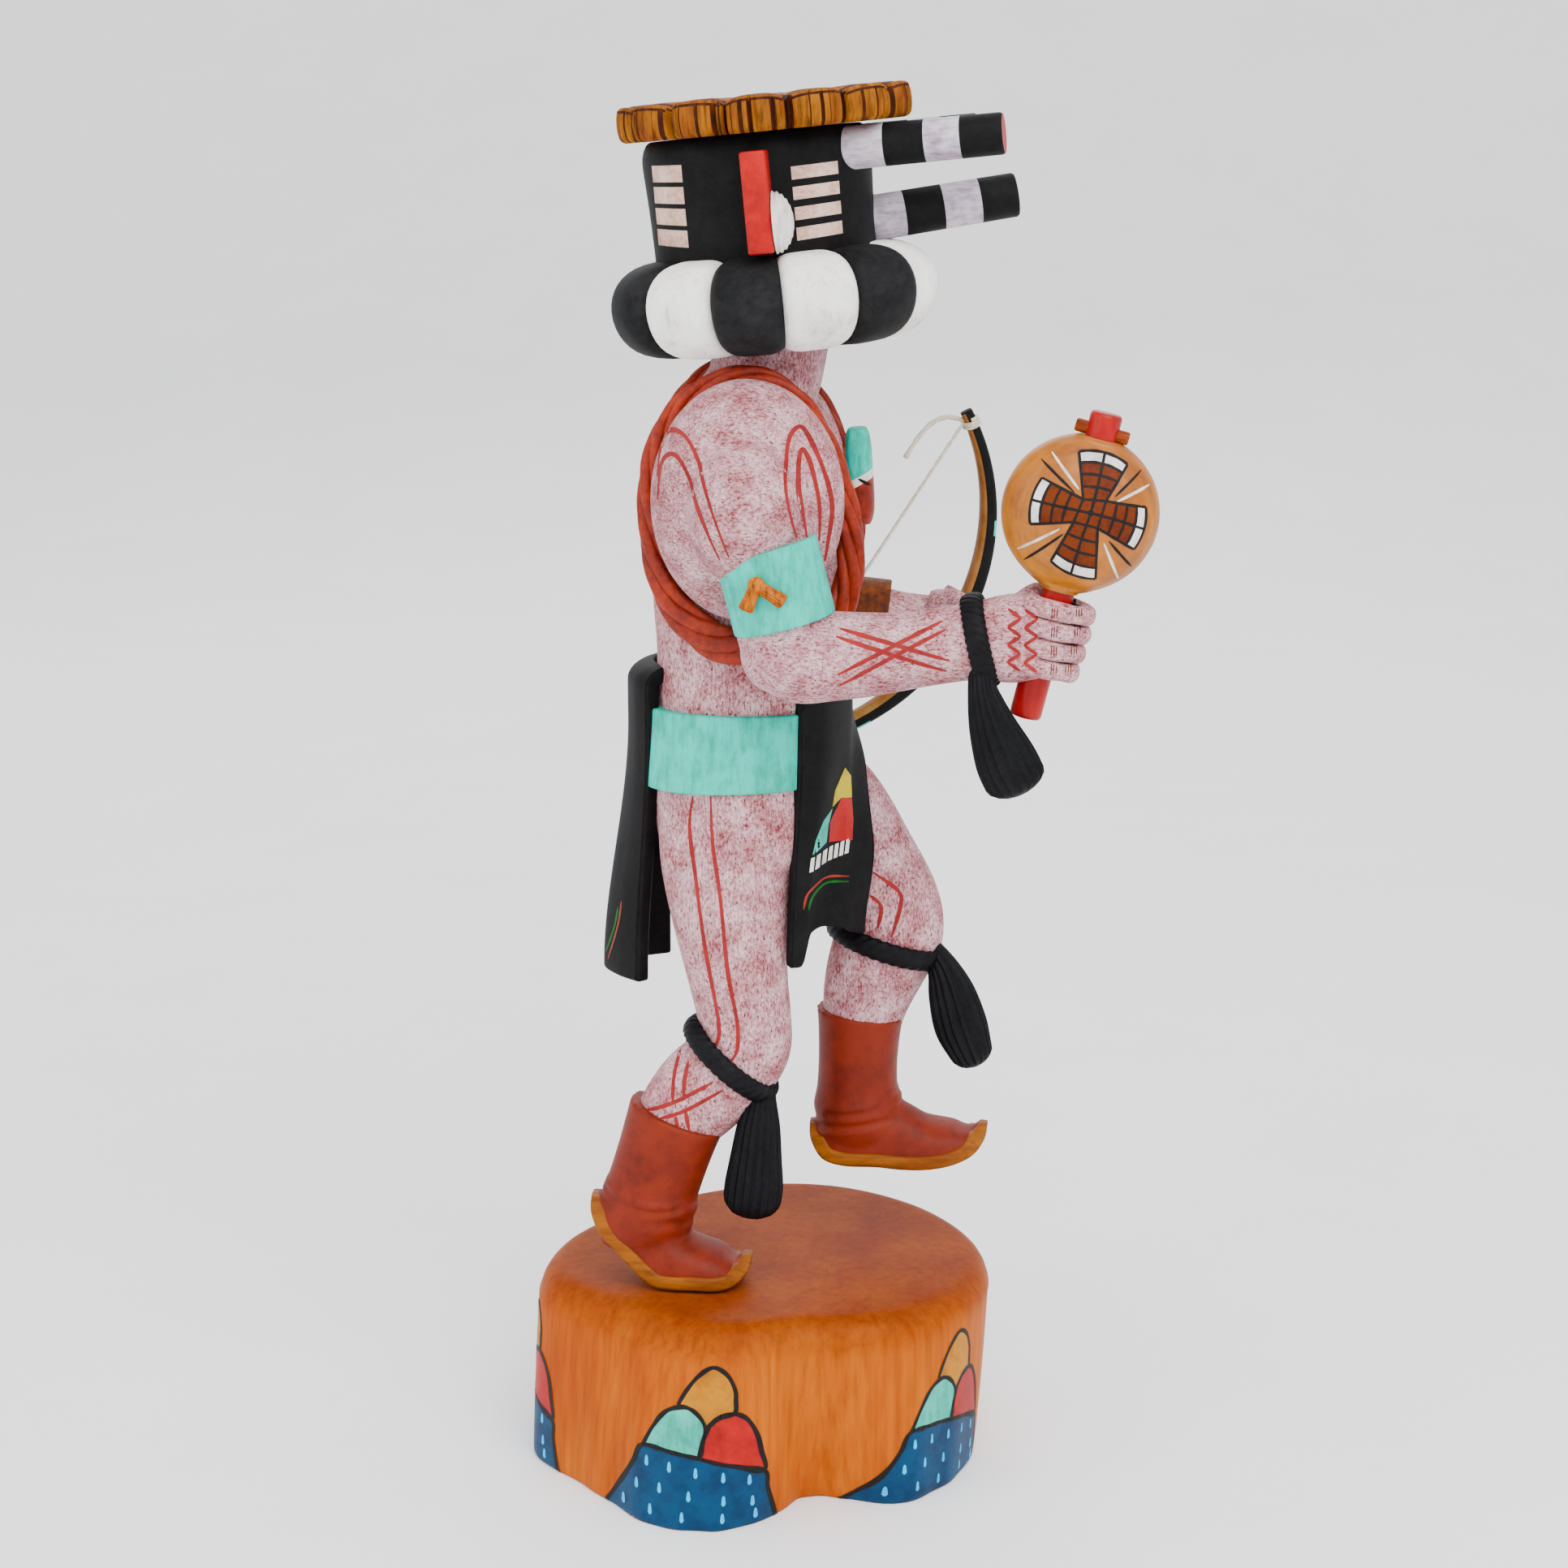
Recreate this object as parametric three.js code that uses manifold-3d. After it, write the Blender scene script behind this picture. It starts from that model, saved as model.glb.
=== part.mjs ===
// A carved and painted dancing doll on a lobed cloud base. Millimetres, +Z up, +X the way the doll faces.
// The origin is at the centre of the base's underside.
import * as THREE from 'three';
import { mergeVertices } from 'three/addons/utils/BufferGeometryUtils.js';
import Module from 'manifold-3d';

const wasm = await Module();
wasm.setup();

// Driving sizes
const FIGURE_HEIGHT = 346; // sole to crown, the scale of the pose and the carving
const FIT_GAP = 0.3;
const BASE_WIDTH = 138;
const BASE_DEPTH = 146;
const BASE_HEIGHT = 58;
const BASE_ROUNDING = 8.5;
const HEAD_LEAN = 5.5; // degrees back
const FACE_TURN = 8.5; // degrees to its left
const MASK_DIAMETER = 64;
const MASK_SET_BACK = 1; // how far the mask's middle sits behind the ruff's
const MASK_HEIGHT = 60;
const RUFF_DIAMETER = 93.5;
const RUFF_HEIGHT = 29;
const RUFF_LOBE_WIDTHS = [40, 28, 26, 25, 30, 30, 31, 30, 30, 30, 30, 30]; // degrees, from the back round the right
const CROWN_DIAMETER = 84;
const CROWN_THICKNESS = 10;
const CROWN_PETALS = 14;
const LEFT_SET_BACK = 2.5; // how far the left shoulder sits behind the right
const CROWN_FORWARD = 2.4; // how far the crown sits forward of the ruff's middle
const TUBE_DIAMETER = 12;
const EYE_TUBE_LENGTH = 44;
const EYE_TUBE_SPLAY = 14; // degrees outwards
const MOUTH_TUBE_LENGTH = 40.3;
const MOUTH_TUBE_RISE = 3.6; // degrees up from the face
const EAR_HEIGHT = 26.4; // over the ruff
const EAR_THICKNESS = 7;
const EAR_REACH = 11; // out from the mask
const EAR_DOME_RADIUS = 8.6;
const EAR_DOME_HEIGHT = 6;
const YARN_WIDTH = 8;
const PENDANT_HEIGHT = 29;
const PENDANT_WIDTH = 13;
const PENDANT_THICKNESS = 7.5;
const BELT_HEIGHT = 24.5;
const BAND_PROUD = 1.6; // how far the belt, armbands and cuff stand out
const FLAP_THICKNESS = 4.2;
const TIE_WIDTH = 5.5;
const TIE_THICKNESS = 2;
const ARMBAND_WIDTH = 21;
const CUFF_WIDTH = 14;
const KNOT_LENGTH = 9;
const SOLE_THICKNESS = 4.4;
const SOLE_PROUD = 0.8;
const GOURD_DIAMETER = 43;
const GOURD_THICKNESS = 26;
const HANDLE_DIAMETER = 8.8;
const HANDLE_LENGTH = 85;
const HANDLE_TILT = 14; // degrees forward
const PEG_DIAMETER = 3.6;
const PEG_LENGTH = 15;
const BOW_LENGTH = 122; // tip to tip
const BOW_DEPTH = 35;
const BOW_WIDTH = 6;
const BOW_THICKNESS = 4.6;
const STRING_DIAMETER = 1;
const STRING_TAIL = 21;

const stature = FIGURE_HEIGHT / 346; // the stations below are for a figure 346 mm tall
const footing = BASE_HEIGHT + FIT_GAP; // the height that the figure stands at
const degree = Math.PI / 180;

const vec = (x, y, z) => new THREE.Vector3(x, y, z);
const onFigure = (x, y, z) => vec(x, y, z).multiplyScalar(stature);
const mirrored = (rows) => rows.map(([x, y, ...rest]) => [x, -y, ...rest]);

// Numbers carried smoothly through rows of stations
function smoothRows(rows, steps) {
  const out = [];
  for (let i = 0; i < rows.length - 1; i += 1) {
    const [a, b, c, d] = [rows[Math.max(i - 1, 0)], rows[i], rows[i + 1], rows[Math.min(i + 2, rows.length - 1)]];
    for (let k = 0; k < steps; k += 1) {
      const t = k / steps;
      out.push(b.map((value, n) => 0.5 * (2 * value + (c[n] - a[n]) * t
        + (2 * a[n] - 5 * value + 4 * c[n] - d[n]) * t * t + (3 * value - a[n] - 3 * c[n] + d[n]) * t * t * t)));
    }
  }
  out.push(rows[rows.length - 1]);
  return out;
}

// A closed skin over rings with the same number of points, with a tip or flat end at both ends
function skin(rings, startTip, endTip) {
  const count = rings[0].length;
  const points = rings.flat();
  const middle = (ring) => ring.reduce((sum, p) => sum.add(p), vec(0, 0, 0)).divideScalar(count);
  points.push(startTip ?? middle(rings[0]), endTip ?? middle(rings[rings.length - 1]));
  const faces = [];
  for (let j = 0; j < count; j += 1) {
    const k = (j + 1) % count;
    for (let i = 0; i < rings.length - 1; i += 1) {
      const [a, b, c, d] = [i * count + j, i * count + k, (i + 1) * count + k, (i + 1) * count + j];
      faces.push([a, b, c], [a, c, d]);
    }
    faces.push([points.length - 2, k, j]);
    const last = (rings.length - 1) * count;
    faces.push([points.length - 1, last + j, last + k]);
  }
  return solidOf(points, faces);
}

// A solid with its faces turned outwards
function solidOf(points, faces) {
  const volume = faces.reduce((sum, [a, b, c]) => sum + points[a].dot(points[b].clone().cross(points[c])), 0);
  const turned = volume < 0 ? faces.map(([a, b, c]) => [a, c, b]) : faces;
  const vertProperties = new Float32Array(points.flatMap((p) => [p.x, p.y, p.z]));
  return new wasm.Manifold(new wasm.Mesh({ numProp: 3, vertProperties, triVerts: new Uint32Array(turned.flat()) }));
}

function solidOfGeometry(geometry) {
  const bare = geometry.index ? geometry.toNonIndexed() : geometry.clone();
  bare.deleteAttribute('normal');
  bare.deleteAttribute('uv');
  const merged = mergeVertices(bare, 1e-4);
  const spots = merged.getAttribute('position');
  const points = Array.from({ length: spots.count }, (_, i) => new THREE.Vector3().fromBufferAttribute(spots, i));
  const faces = Array.from({ length: merged.index.count / 3 }, (_, i) => [0, 1, 2].map((n) => merged.index.getX(3 * i + n)));
  return solidOf(points, faces.filter(([a, b, c]) => a !== b && b !== c && a !== c));
}

const unite = (solids) => solids.reduce((whole, solid) => whole.add(solid));

function moved(solid, matrix) {
  return solid.transform(matrix.elements);
}

// A round-cornered section: points of a superellipse, let out a little so that it holds the same area
function oval(count, halfAcross, halfAlong, squareness = 2) {
  const turn = (2 * Math.PI) / count;
  const fullness = Math.sqrt(turn / Math.sin(turn));
  const [across, along] = [halfAcross * fullness, halfAlong * fullness];
  return Array.from({ length: count }, (_, i) => {
    const angle = turn * i;
    const pull = (value) => Math.sign(value) * Math.abs(value) ** (2 / squareness);
    return [across * pull(Math.cos(angle)), along * pull(Math.sin(angle))];
  });
}

// The way a spine runs at each of its points, with a side and a front to hang sections on
function framesAlong(spine, side) {
  return spine.map((point, i) => {
    const ahead = spine[Math.min(i + 1, spine.length - 1)];
    const behind = spine[Math.max(i - 1, 0)];
    const way = ahead.clone().sub(behind).normalize();
    const across = side.clone().addScaledVector(way, -side.dot(way)).normalize();
    return { point, way, across, front: way.clone().cross(across) };
  });
}

const placed = ({ point, across, front }, [u, v]) => point.clone().addScaledVector(across, u).addScaledVector(front, v);

// A limb through stations of place, half width, half depth and squareness, with round or flat ends
function limb(stations, { sides = 10, grow = 0, side = vec(0, 1, 0), round = [true, true] } = {}) {
  const rows = stations.map((row) => [...row.slice(0, 5), row[5] ?? 2]);
  const frames = framesAlong(rows.map(([x, y, z]) => onFigure(x, y, z)), side);
  const halves = rows.map(([, , , wide, deep]) => [wide * stature + grow, deep * stature + grow]);
  const rings = frames.map((frame, i) => oval(sides, ...halves[i], rows[i][5]).map((spot) => placed(frame, spot)));
  const capped = (end, sign) => {
    const frame = frames[end];
    const reach = Math.min(...halves[end]);
    const at = (turn) => frame.point.clone().addScaledVector(frame.way, sign * reach * Math.sin(turn * degree));
    const ring = (turn) => oval(sides, ...halves[end].map((half) => half * Math.cos(turn * degree)), rows[end][5])
      .map((spot) => placed({ ...frame, point: at(turn) }, spot));
    return { rings: [ring(48)], tip: at(90) };
  };
  const start = round[0] ? capped(0, -1) : { rings: [], tip: null };
  const finish = round[1] ? capped(frames.length - 1, 1) : { rings: [], tip: null };
  return skin([...start.rings.reverse(), ...rings, ...finish.rings], start.tip, finish.tip);
}

// A straight round bar between two points
function bar(from, to, radius, sides = 16, endRadius = radius) {
  const [start, finish] = framesAlong([from, to], Math.abs(to.x - from.x) > 1 ? vec(0, 1, 0) : vec(1, 0, 0));
  const ringAt = (frame, size) => oval(sides, size, size).map((spot) => placed(frame, spot));
  return skin([ringAt(start, radius), ringAt(finish, endRadius)]);
}

// A slab behind a curved sheet of points, from its near edge to its far edge and from its top to its hem
function slab(sheet, inward, columns, rows) {
  const outer = [];
  const inner = [];
  for (let j = 0; j <= rows; j += 1) {
    for (let i = 0; i <= columns; i += 1) {
      const point = sheet(i / columns, j / rows);
      outer.push(point);
      inner.push(point.clone().add(inward(i / columns, j / rows)));
    }
  }
  const wide = columns + 1;
  const back = outer.length;
  const faces = [];
  const quad = (a, b, c, d) => faces.push([a, b, c], [a, c, d]);
  for (let j = 0; j < rows; j += 1) {
    for (let i = 0; i < columns; i += 1) {
      const a = j * wide + i;
      quad(a, a + 1, a + 1 + wide, a + wide);
      quad(back + a, back + a + wide, back + a + 1 + wide, back + a + 1);
    }
    const [left, right] = [j * wide, j * wide + columns];
    quad(left, left + wide, back + left + wide, back + left);
    quad(right, back + right, back + right + wide, right + wide);
  }
  for (let i = 0; i < columns; i += 1) {
    const low = rows * wide + i;
    quad(i, back + i, back + i + 1, i + 1);
    quad(low, low + 1, back + low + 1, back + low);
  }
  return solidOf([...outer, ...inner], faces);
}

// Base: a lobed outline with sloping sides and a rounded shoulder
const baseOutline = [ // shares of half the width and half the depth, round the foot and round the edge of the top
  [0.93, 0, 0.985, 0], [0.86, 0.36, 0.92, 0.36], [0.66, 0.7, 0.7, 0.7], [0.36, 0.9, 0.36, 0.93], [0, 0.96, 0, 0.975],
  [-0.36, 0.84, -0.35, 0.84], [-0.68, 0.6, -0.67, 0.6], [-0.9, 0.28, -0.9, 0.28], [-1, -0.04, -0.975, -0.04],
  [-0.975, -0.32, -0.93, -0.29], [-0.81, -0.5, -0.78, -0.46], [-0.62, -0.7, -0.57, -0.62], [-0.42, -0.905, -0.37, -0.76],
  [-0.23, -0.96, -0.2, -0.83], [-0.06, -0.934, -0.04, -0.84], [0.112, -0.79, 0.1, -0.8], [0.2, -0.64, 0.2, -0.76],
  [0.3, -0.605, 0.3, -0.74], [0.442, -0.63, 0.44, -0.725], [0.632, -0.648, 0.65, -0.65], [0.79, -0.5, 0.83, -0.47],
  [0.89, -0.3, 0.94, -0.26],
];

function baseSolid() {
  const outline = smoothRows([...baseOutline, baseOutline[0]], 2).slice(0, -1);
  const ring = (z, lift, inset) => outline.map(([x, y, topX, topY]) => {
    const [u, v] = [x + (topX - x) * lift, y + (topY - y) * lift];
    const reach = Math.hypot(u * BASE_WIDTH, v * BASE_DEPTH) / 2;
    const share = (reach - inset) / reach;
    return vec((u * share * BASE_WIDTH) / 2, (v * share * BASE_DEPTH) / 2, z);
  });
  const curve = (turn) => [BASE_HEIGHT - BASE_ROUNDING * (1 - Math.sin(turn * degree)),
    1, BASE_ROUNDING * (1 - Math.cos(turn * degree))];
  const wall = [[0, 0, 1], [1, 0.02, 0], [BASE_HEIGHT * 0.42, 0.42, -0.5]];
  return skin([...wall, ...[0, 45, 90].map(curve)].map(([z, lift, inset]) => ring(z, lift, inset)));
}

// Figure: neck, torso, belt, legs and boots in one carving
const torso = [
  [3, 0, 283, 17, 17], [1, 0, 268, 17, 16.2], [-0.4, 0, 262, 19.5, 16.2], [-2.4, 0, 256, 25, 18.4, 2.2],
  [-3.2, 0, 247, 30, 23.6, 2.3], [-3.5, 0, 232, 31, 28.4, 2.3], [-3.5, 0, 208, 29.5, 28.8, 2.3],
  [-3.5, 0, 186, 28, 27.6, 2.3], [-5, 0, 170, 27.5, 26.6, 2.3], [-6.5, 0, 150, 28.2, 26, 2.3],
  [-6, 0, 137, 28.6, 26, 2.3], [-4, 0, 126, 27, 23.5, 2.2], [-3, 0, 119, 20, 16],
];
const rightLeg = [
  [-9.5, -13.5, 143, 14, 20.3], [-9.7, -14.5, 127, 14.5, 19.6], [-8.6, -16, 110, 13.8, 17.2],
  [-6.5, -17, 93, 13, 14.8], [-4.6, -17.6, 80.5, 12.5, 13.8], [-4.6, -18, 71, 12.4, 13.8],
  [-10.6, -18.4, 63.4, 12.4, 14], [-17.2, -19, 57, 12.4, 14.2], [-23.2, -19.6, 49.8, 12, 13],
  [-27, -20, 42, 11.5, 12],
];
const rightBoot = [
  [-24, -20, 50.8, 13.6, 14.6, 2.2], [-25.4, -20, 47, 13.2, 14.2, 2.2], [-28.2, -20, 38.5, 12.7, 13.7, 2.2],
  [-31.4, -20.3, 28.5, 12.6, 13.6, 2.2], [-32.2, -20.5, 25.2, 13.3, 14.4, 2.2], [-33, -20.6, 22, 12.7, 13.8, 2.2],
  [-34, -20.8, 18, 13, 14.6, 2.2], [-33.5, -21, 12, 11, 13, 2.2],
];
const rightFoot = [ // the middle of the sole, then the half width and the height over it
  [-49.6, -20.5, 25.5, 3.5, 3.5], [-49.4, -20.5, 22, 8.6, 9.5], [-46.6, -20.5, 16, 11, 16.5], [-40.4, -20.8, 9.4, 11.6, 20],
  [-33.2, -21.2, 2.4, 12, 21.5], [-27.5, -21.5, 0, 12.4, 20], [-19, -21.8, 0, 12.8, 13.4], [-11, -22, 0, 12.4, 10.8],
  [-5.8, -22, 1.4, 10, 8.8], [-2.6, -22, 4.6, 6.4, 6.2], [-1.8, -22, 8.4, 2.4, 3.2],
];
const leftLeg = [
  [3, 13, 148, 13, 19], [17.5, 15, 135.5, 14.2, 17.6], [28.6, 16.3, 119, 14.2, 16.2], [35.6, 17, 106.6, 13.8, 15.6],
  [36.6, 17, 97.6, 13.3, 16], [33.4, 17, 89.4, 12.8, 15.3], [30.2, 17, 80, 12.3, 13.9], [28.4, 17, 71, 11.8, 12.3],
  [27.6, 17, 62, 11, 11.4],
];
const leftBoot = [
  [27.8, 17, 72.6, 12.6, 13.6, 2.2], [27.5, 17, 69, 12.1, 12.7, 2.2], [27, 17, 58, 11.6, 12, 2.2],
  [26.8, 17, 48.5, 11.6, 12.3, 2.2], [27, 17, 44, 12.4, 13.6, 2.2], [27.6, 17, 41, 11.9, 12.8, 2.2],
  [27.8, 17, 36.5, 12, 14.2, 2.2], [28, 17, 32, 10.5, 13.5, 2.2],
];
const leftFoot = [
  [12.4, 17, 37.2, 3, 3], [12.8, 17, 33.2, 8, 9], [16.4, 17, 27.8, 10.6, 15.3], [23.2, 17, 25.7, 11.2, 19.3],
  [33, 17, 25.6, 11.4, 20.3], [41, 17, 25.1, 11.8, 18.4], [49, 17, 25.4, 12, 14.6], [56.6, 17, 27, 11.6, 12.2],
  [62.6, 17, 29.8, 9.6, 9.4], [65.8, 17, 33.8, 6, 6.4], [66.6, 17, 37.8, 2.2, 2.8],
];
const rightTiePlace = { middle: [-8.4, -18.2, 67.4], way: [-0.66, 0, -0.75], wide: 12.8, deep: 14.8 };
const leftTiePlace = { middle: [35.2, 17, 94.6], way: [-0.3, 0, -0.95], wide: 13.6, deep: 16.2 };

function grown(stations, proud) {
  return stations.map(([x, y, z, wide, deep, square]) => [x, y, z, wide + proud, deep + proud, square ?? 2]);
}

// A foot: a flat sole that stands proud all round, and a domed upper
function foot(stations, grow = 0) {
  const frames = framesAlong(stations.map(([x, y, z]) => onFigure(x, y, z)), vec(0, 1, 0));
  const rings = frames.map((frame, i) => {
    const wide = stations[i][3] * stature + grow;
    const high = stations[i][4] * stature + grow;
    const sole = Math.min(SOLE_THICKNESS, high * 0.6);
    const upper = Math.max(wide - SOLE_PROUD, wide * 0.6);
    const under = [[-wide * 0.92, -grow], [wide * 0.92, -grow]];
    const dome = [0, 38, 72, 108, 142, 180].map((turn) => [upper * Math.cos(turn * degree),
      sole + (high - sole) * Math.sin(turn * degree) ** 0.8]);
    return [...under, [wide, sole], ...dome, [-wide, sole]].map((spot) => placed(frame, spot));
  });
  return skin(rings);
}

// The underside of the head, which the neck stops at
const headSeat = onFigure(4.2, 0, 273.5);
const headTurn = new THREE.Matrix4().makeRotationY(-HEAD_LEAN * degree).setPosition(headSeat);
const onHead = (x, y, z) => vec(x, y, z).applyMatrix4(headTurn);

function beltRows() {
  const top = 169.5;
  const bottom = top - BELT_HEIGHT / stature;
  const at = (z) => {
    const below = torso.findIndex((row) => row[2] <= z);
    const [upper, lower] = [torso[below - 1], torso[below]];
    const share = (upper[2] - z) / (upper[2] - lower[2]);
    return upper.map((value, n) => value + ((lower[n] ?? 2) - value) * share);
  };
  const proud = BAND_PROUD / stature;
  return grown([at(top), at((top + bottom) / 2), at(bottom)], proud);
}

function figureSolid(grow = 0) {
  const option = { grow };
  const flat = { grow, round: [false, false] };
  const body = unite([
    limb(torso, { ...option, sides: 14, round: [false, true] }),
    limb(beltRows(), { ...flat, sides: 14 }),
    limb(rightLeg, option),
    limb(rightBoot, { ...flat }),
    foot(rightFoot, grow),
    limb(leftLeg, option),
    limb(leftBoot, { ...flat }),
    foot(leftFoot, grow),
  ]);
  const reach = FIGURE_HEIGHT;
  const aboveSole = solidOfGeometry(new THREE.BoxGeometry(reach, reach, reach).translate(0, 0, reach / 2 - grow));
  const box = new THREE.BoxGeometry(reach, reach, reach).translate(0, 0, reach / 2 - FIT_GAP - grow);
  const aboveNeck = moved(solidOfGeometry(box), headTurn);
  return body.intersect(aboveSole).subtract(aboveNeck);
}

// Arms: the shoulder cap, upper arm, armband, forearm and fist in one carving, glued to the torso
const shoulder = [
  [-2.4, -18, 233, 24.4, 31], [-2.2, -26, 233, 26.7, 33.5], [-2, -33, 233, 26.8, 33.8], [-1.8, -40, 232.5, 23.2, 29.5],
  [-1.4, -45, 231.5, 16, 21],
];
const leftShoulder = mirrored(shoulder).map(([x, ...rest]) => [x - LEFT_SET_BACK, ...rest]);
const upperArm = [
  [1, -39, 234, 11, 14.5], [4, -42, 223, 11.5, 14], [6.5, -43.5, 210, 11.5, 14], [9.4, -44, 199, 11.6, 14.4],
  [10.5, -44, 193, 11.4, 13],
];
const armbandMiddle = [6.7, -43.2, 211, 11.5, 14.2];
const rightForearm = [
  [6, -44, 193, 11.5, 12], [13, -44, 191.8, 11.6, 13.2], [22, -44, 192, 11.2, 12.6], [32, -44.4, 192.6, 10.6, 11.8],
  [44, -45, 194, 9.6, 10.7], [55, -45.6, 196, 9, 10.6], [63, -46, 197.2, 8.8, 11], [71, -46.4, 198, 8.6, 12.2, 2.4],
  [80, -47.6, 198.3, 6.8, 12, 2.6],
];
const leftForearm = [
  [-2, 46, 191, 11, 12], [6, 46.8, 190, 11.4, 12.8], [16, 47.8, 188.4, 11, 12], [26, 48.4, 187, 10.4, 11.4],
  [35, 48.6, 185.4, 9.2, 10.6], [41, 48.6, 184.2, 8.8, 11], [48, 48.6, 183, 7, 11.4, 2.6],
];
const leftUpperArm = [
  [0, 39, 234, 11, 14.5], [0.5, 42, 223, 11.5, 14], [0.5, 44.5, 210, 11.5, 14], [0.5, 46, 199, 11.6, 14.2],
  [0.5, 46, 193, 11.4, 13],
];
const leftArmbandMiddle = [0.5, 44.2, 211, 11.5, 14.2];
const cuffMiddle = [26.5, 48.4, 187, 10.5, 11.4];
const rightGrip = { at: onFigure(81.4, -45.6, 198.3), way: vec(Math.sin(HANDLE_TILT * degree), 0, Math.cos(HANDLE_TILT * degree)) };
const chordMiddle = onFigure(23.9, 35, 200.6);
const chordWay = vec(0.542, 0, 0.84).normalize();
const bulgeWay = vec(0.805, 0.287, -0.519).normalize();
const bowAt = (share) => { // from the lower tip at -1 to the upper tip at 1, on a round arc
  const radius = (BOW_LENGTH ** 2 / 4 + BOW_DEPTH ** 2) / (2 * BOW_DEPTH);
  const reach = Math.asin(BOW_LENGTH / 2 / radius) * share;
  return chordMiddle.clone().addScaledVector(chordWay, radius * Math.sin(reach))
    .addScaledVector(bulgeWay, radius * Math.cos(reach) - radius + BOW_DEPTH);
};
const leftGripShare = 0.02;
const leftGrip = {
  at: bowAt(leftGripShare),
  way: bowAt(leftGripShare + 0.02).sub(bowAt(leftGripShare - 0.02)).normalize(),
};

// A ring-shaped raised band round an arm, across its spine
function armBand(middle, way, width, grow = 0) {
  const [x, y, z, wide, deep] = middle;
  const along = vec(...way).normalize().multiplyScalar((width / 2 + grow) / stature);
  const row = (sign) => [x + sign * along.x, y + sign * along.y, z + sign * along.z,
    wide + BAND_PROUD / stature, deep + BAND_PROUD / stature];
  return limb([row(-1), row(1)], { grow, round: [false, false], sides: 11 });
}

const armbandOn = (side, grow = 0) => (side < 0
  ? armBand(armbandMiddle, [0.28, 0, -0.96], ARMBAND_WIDTH, grow)
  : armBand(leftArmbandMiddle, [0, 0, -1], ARMBAND_WIDTH, grow));

// Four fingers curled round what the hand holds, with the thumb behind them
function fingers({ at, way }, heldRadius, out, thickness = 5.2) {
  const ahead = vec(1, 0, 0).addScaledVector(way, -way.x).normalize();
  const outward = way.clone().cross(ahead).multiplyScalar(Math.sign(way.clone().cross(ahead).y) * out);
  const reach = heldRadius + FIT_GAP + (thickness * stature) / 2;
  const pitch = 5.8 * stature;
  return [1.5, 0.5, -0.5, -1.5].map((step) => {
    const length = [158, 172, 166, 148][step + 1.5];
    const rise = at.clone().addScaledVector(way, step * pitch);
    const onCurl = (turn) => rise.clone().addScaledVector(outward, reach * Math.cos(turn * degree))
      .addScaledVector(ahead, reach * Math.sin(turn * degree));
    const knuckle = onCurl(0).addScaledVector(ahead, -6.5 * stature).addScaledVector(outward, -0.6 * stature);
    const bends = [knuckle, onCurl(0), onCurl(length * 0.45), onCurl(length)];
    const half = (thickness * stature) / 2;
    const rows = framesAlong(bends, way).map((frame) => oval(6, half * 1.06, half).map((spot) => placed(frame, spot)));
    const [tip] = framesAlong([onCurl(length + 14), onCurl(length)], way);
    const nail = oval(6, half * 0.6, half * 0.6).map((spot) => placed({ ...tip, front: tip.front.negate() }, spot));
    return skin([...rows, nail.map((_, n) => rows[3][n].clone().lerp(onCurl(length + 20), 0.45))]);
  });
}

// The inside of a fist, round what it holds
function grasp({ at, way }, heldRadius) {
  const half = 10.4 * stature;
  return bar(at.clone().addScaledVector(way, -half), at.clone().addScaledVector(way, half), heldRadius + 3.8 * stature, 12);
}

function thumb({ at, way }, heldRadius, out) {
  const ahead = vec(1, 0, 0).addScaledVector(way, -way.x).normalize();
  const outward = way.clone().cross(ahead).multiplyScalar(Math.sign(way.clone().cross(ahead).y) * out);
  const reach = heldRadius + FIT_GAP + 2.9 * stature;
  const spots = [[-9, 0, 5.5], [-reach * 0.82, -reach * 0.72, 10.2], [-1.5, -reach * 1.12, 10.6], [4, -reach * 1.05, 9.6]];
  const rows = spots.map(([forward, side, up]) => at.clone().addScaledVector(ahead, forward)
    .addScaledVector(outward, side).addScaledVector(way, up * stature));
  const rings = framesAlong(rows, way).map((frame, i) => oval(6, [4.2, 3, 2.8, 1.8][i] * stature, [4, 3, 2.8, 1.8][i] * stature)
    .map((spot) => placed(frame, spot)));
  return skin(rings);
}

const gourdRise = 35.5; // from the middle of the fist to the middle of the gourd, along the handle
const gourdMiddle = rightGrip.at.clone().addScaledVector(rightGrip.way, gourdRise);
const pegMiddle = gourdMiddle.clone().addScaledVector(rightGrip.way, GOURD_DIAMETER / 2 + 2.6);

function handleSolid(grow = 0) {
  const low = rightGrip.at.clone().addScaledVector(rightGrip.way, -handleDrop);
  const top = low.clone().addScaledVector(rightGrip.way, HANDLE_LENGTH + grow);
  return bar(low.addScaledVector(rightGrip.way, -grow), top, HANDLE_DIAMETER / 2 + grow, 12);
}
const handleDrop = 23.5; // how far the handle reaches below the middle of the fist

function bowSolid(grow = 0) {
  const shares = Array.from({ length: 13 }, (_, i) => -1 + i / 6);
  const frames = framesAlong(shares.map(bowAt), chordWay.clone().cross(bulgeWay));
  const rings = frames.map((frame, i) => {
    const taper = 1 - 0.42 * shares[i] ** 4;
    return oval(8, (BOW_WIDTH / 2) * taper + grow, (BOW_THICKNESS / 2) * taper + grow, 2.6)
      .map((spot) => placed(frame, spot));
  });
  return skin(rings);
}

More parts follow.
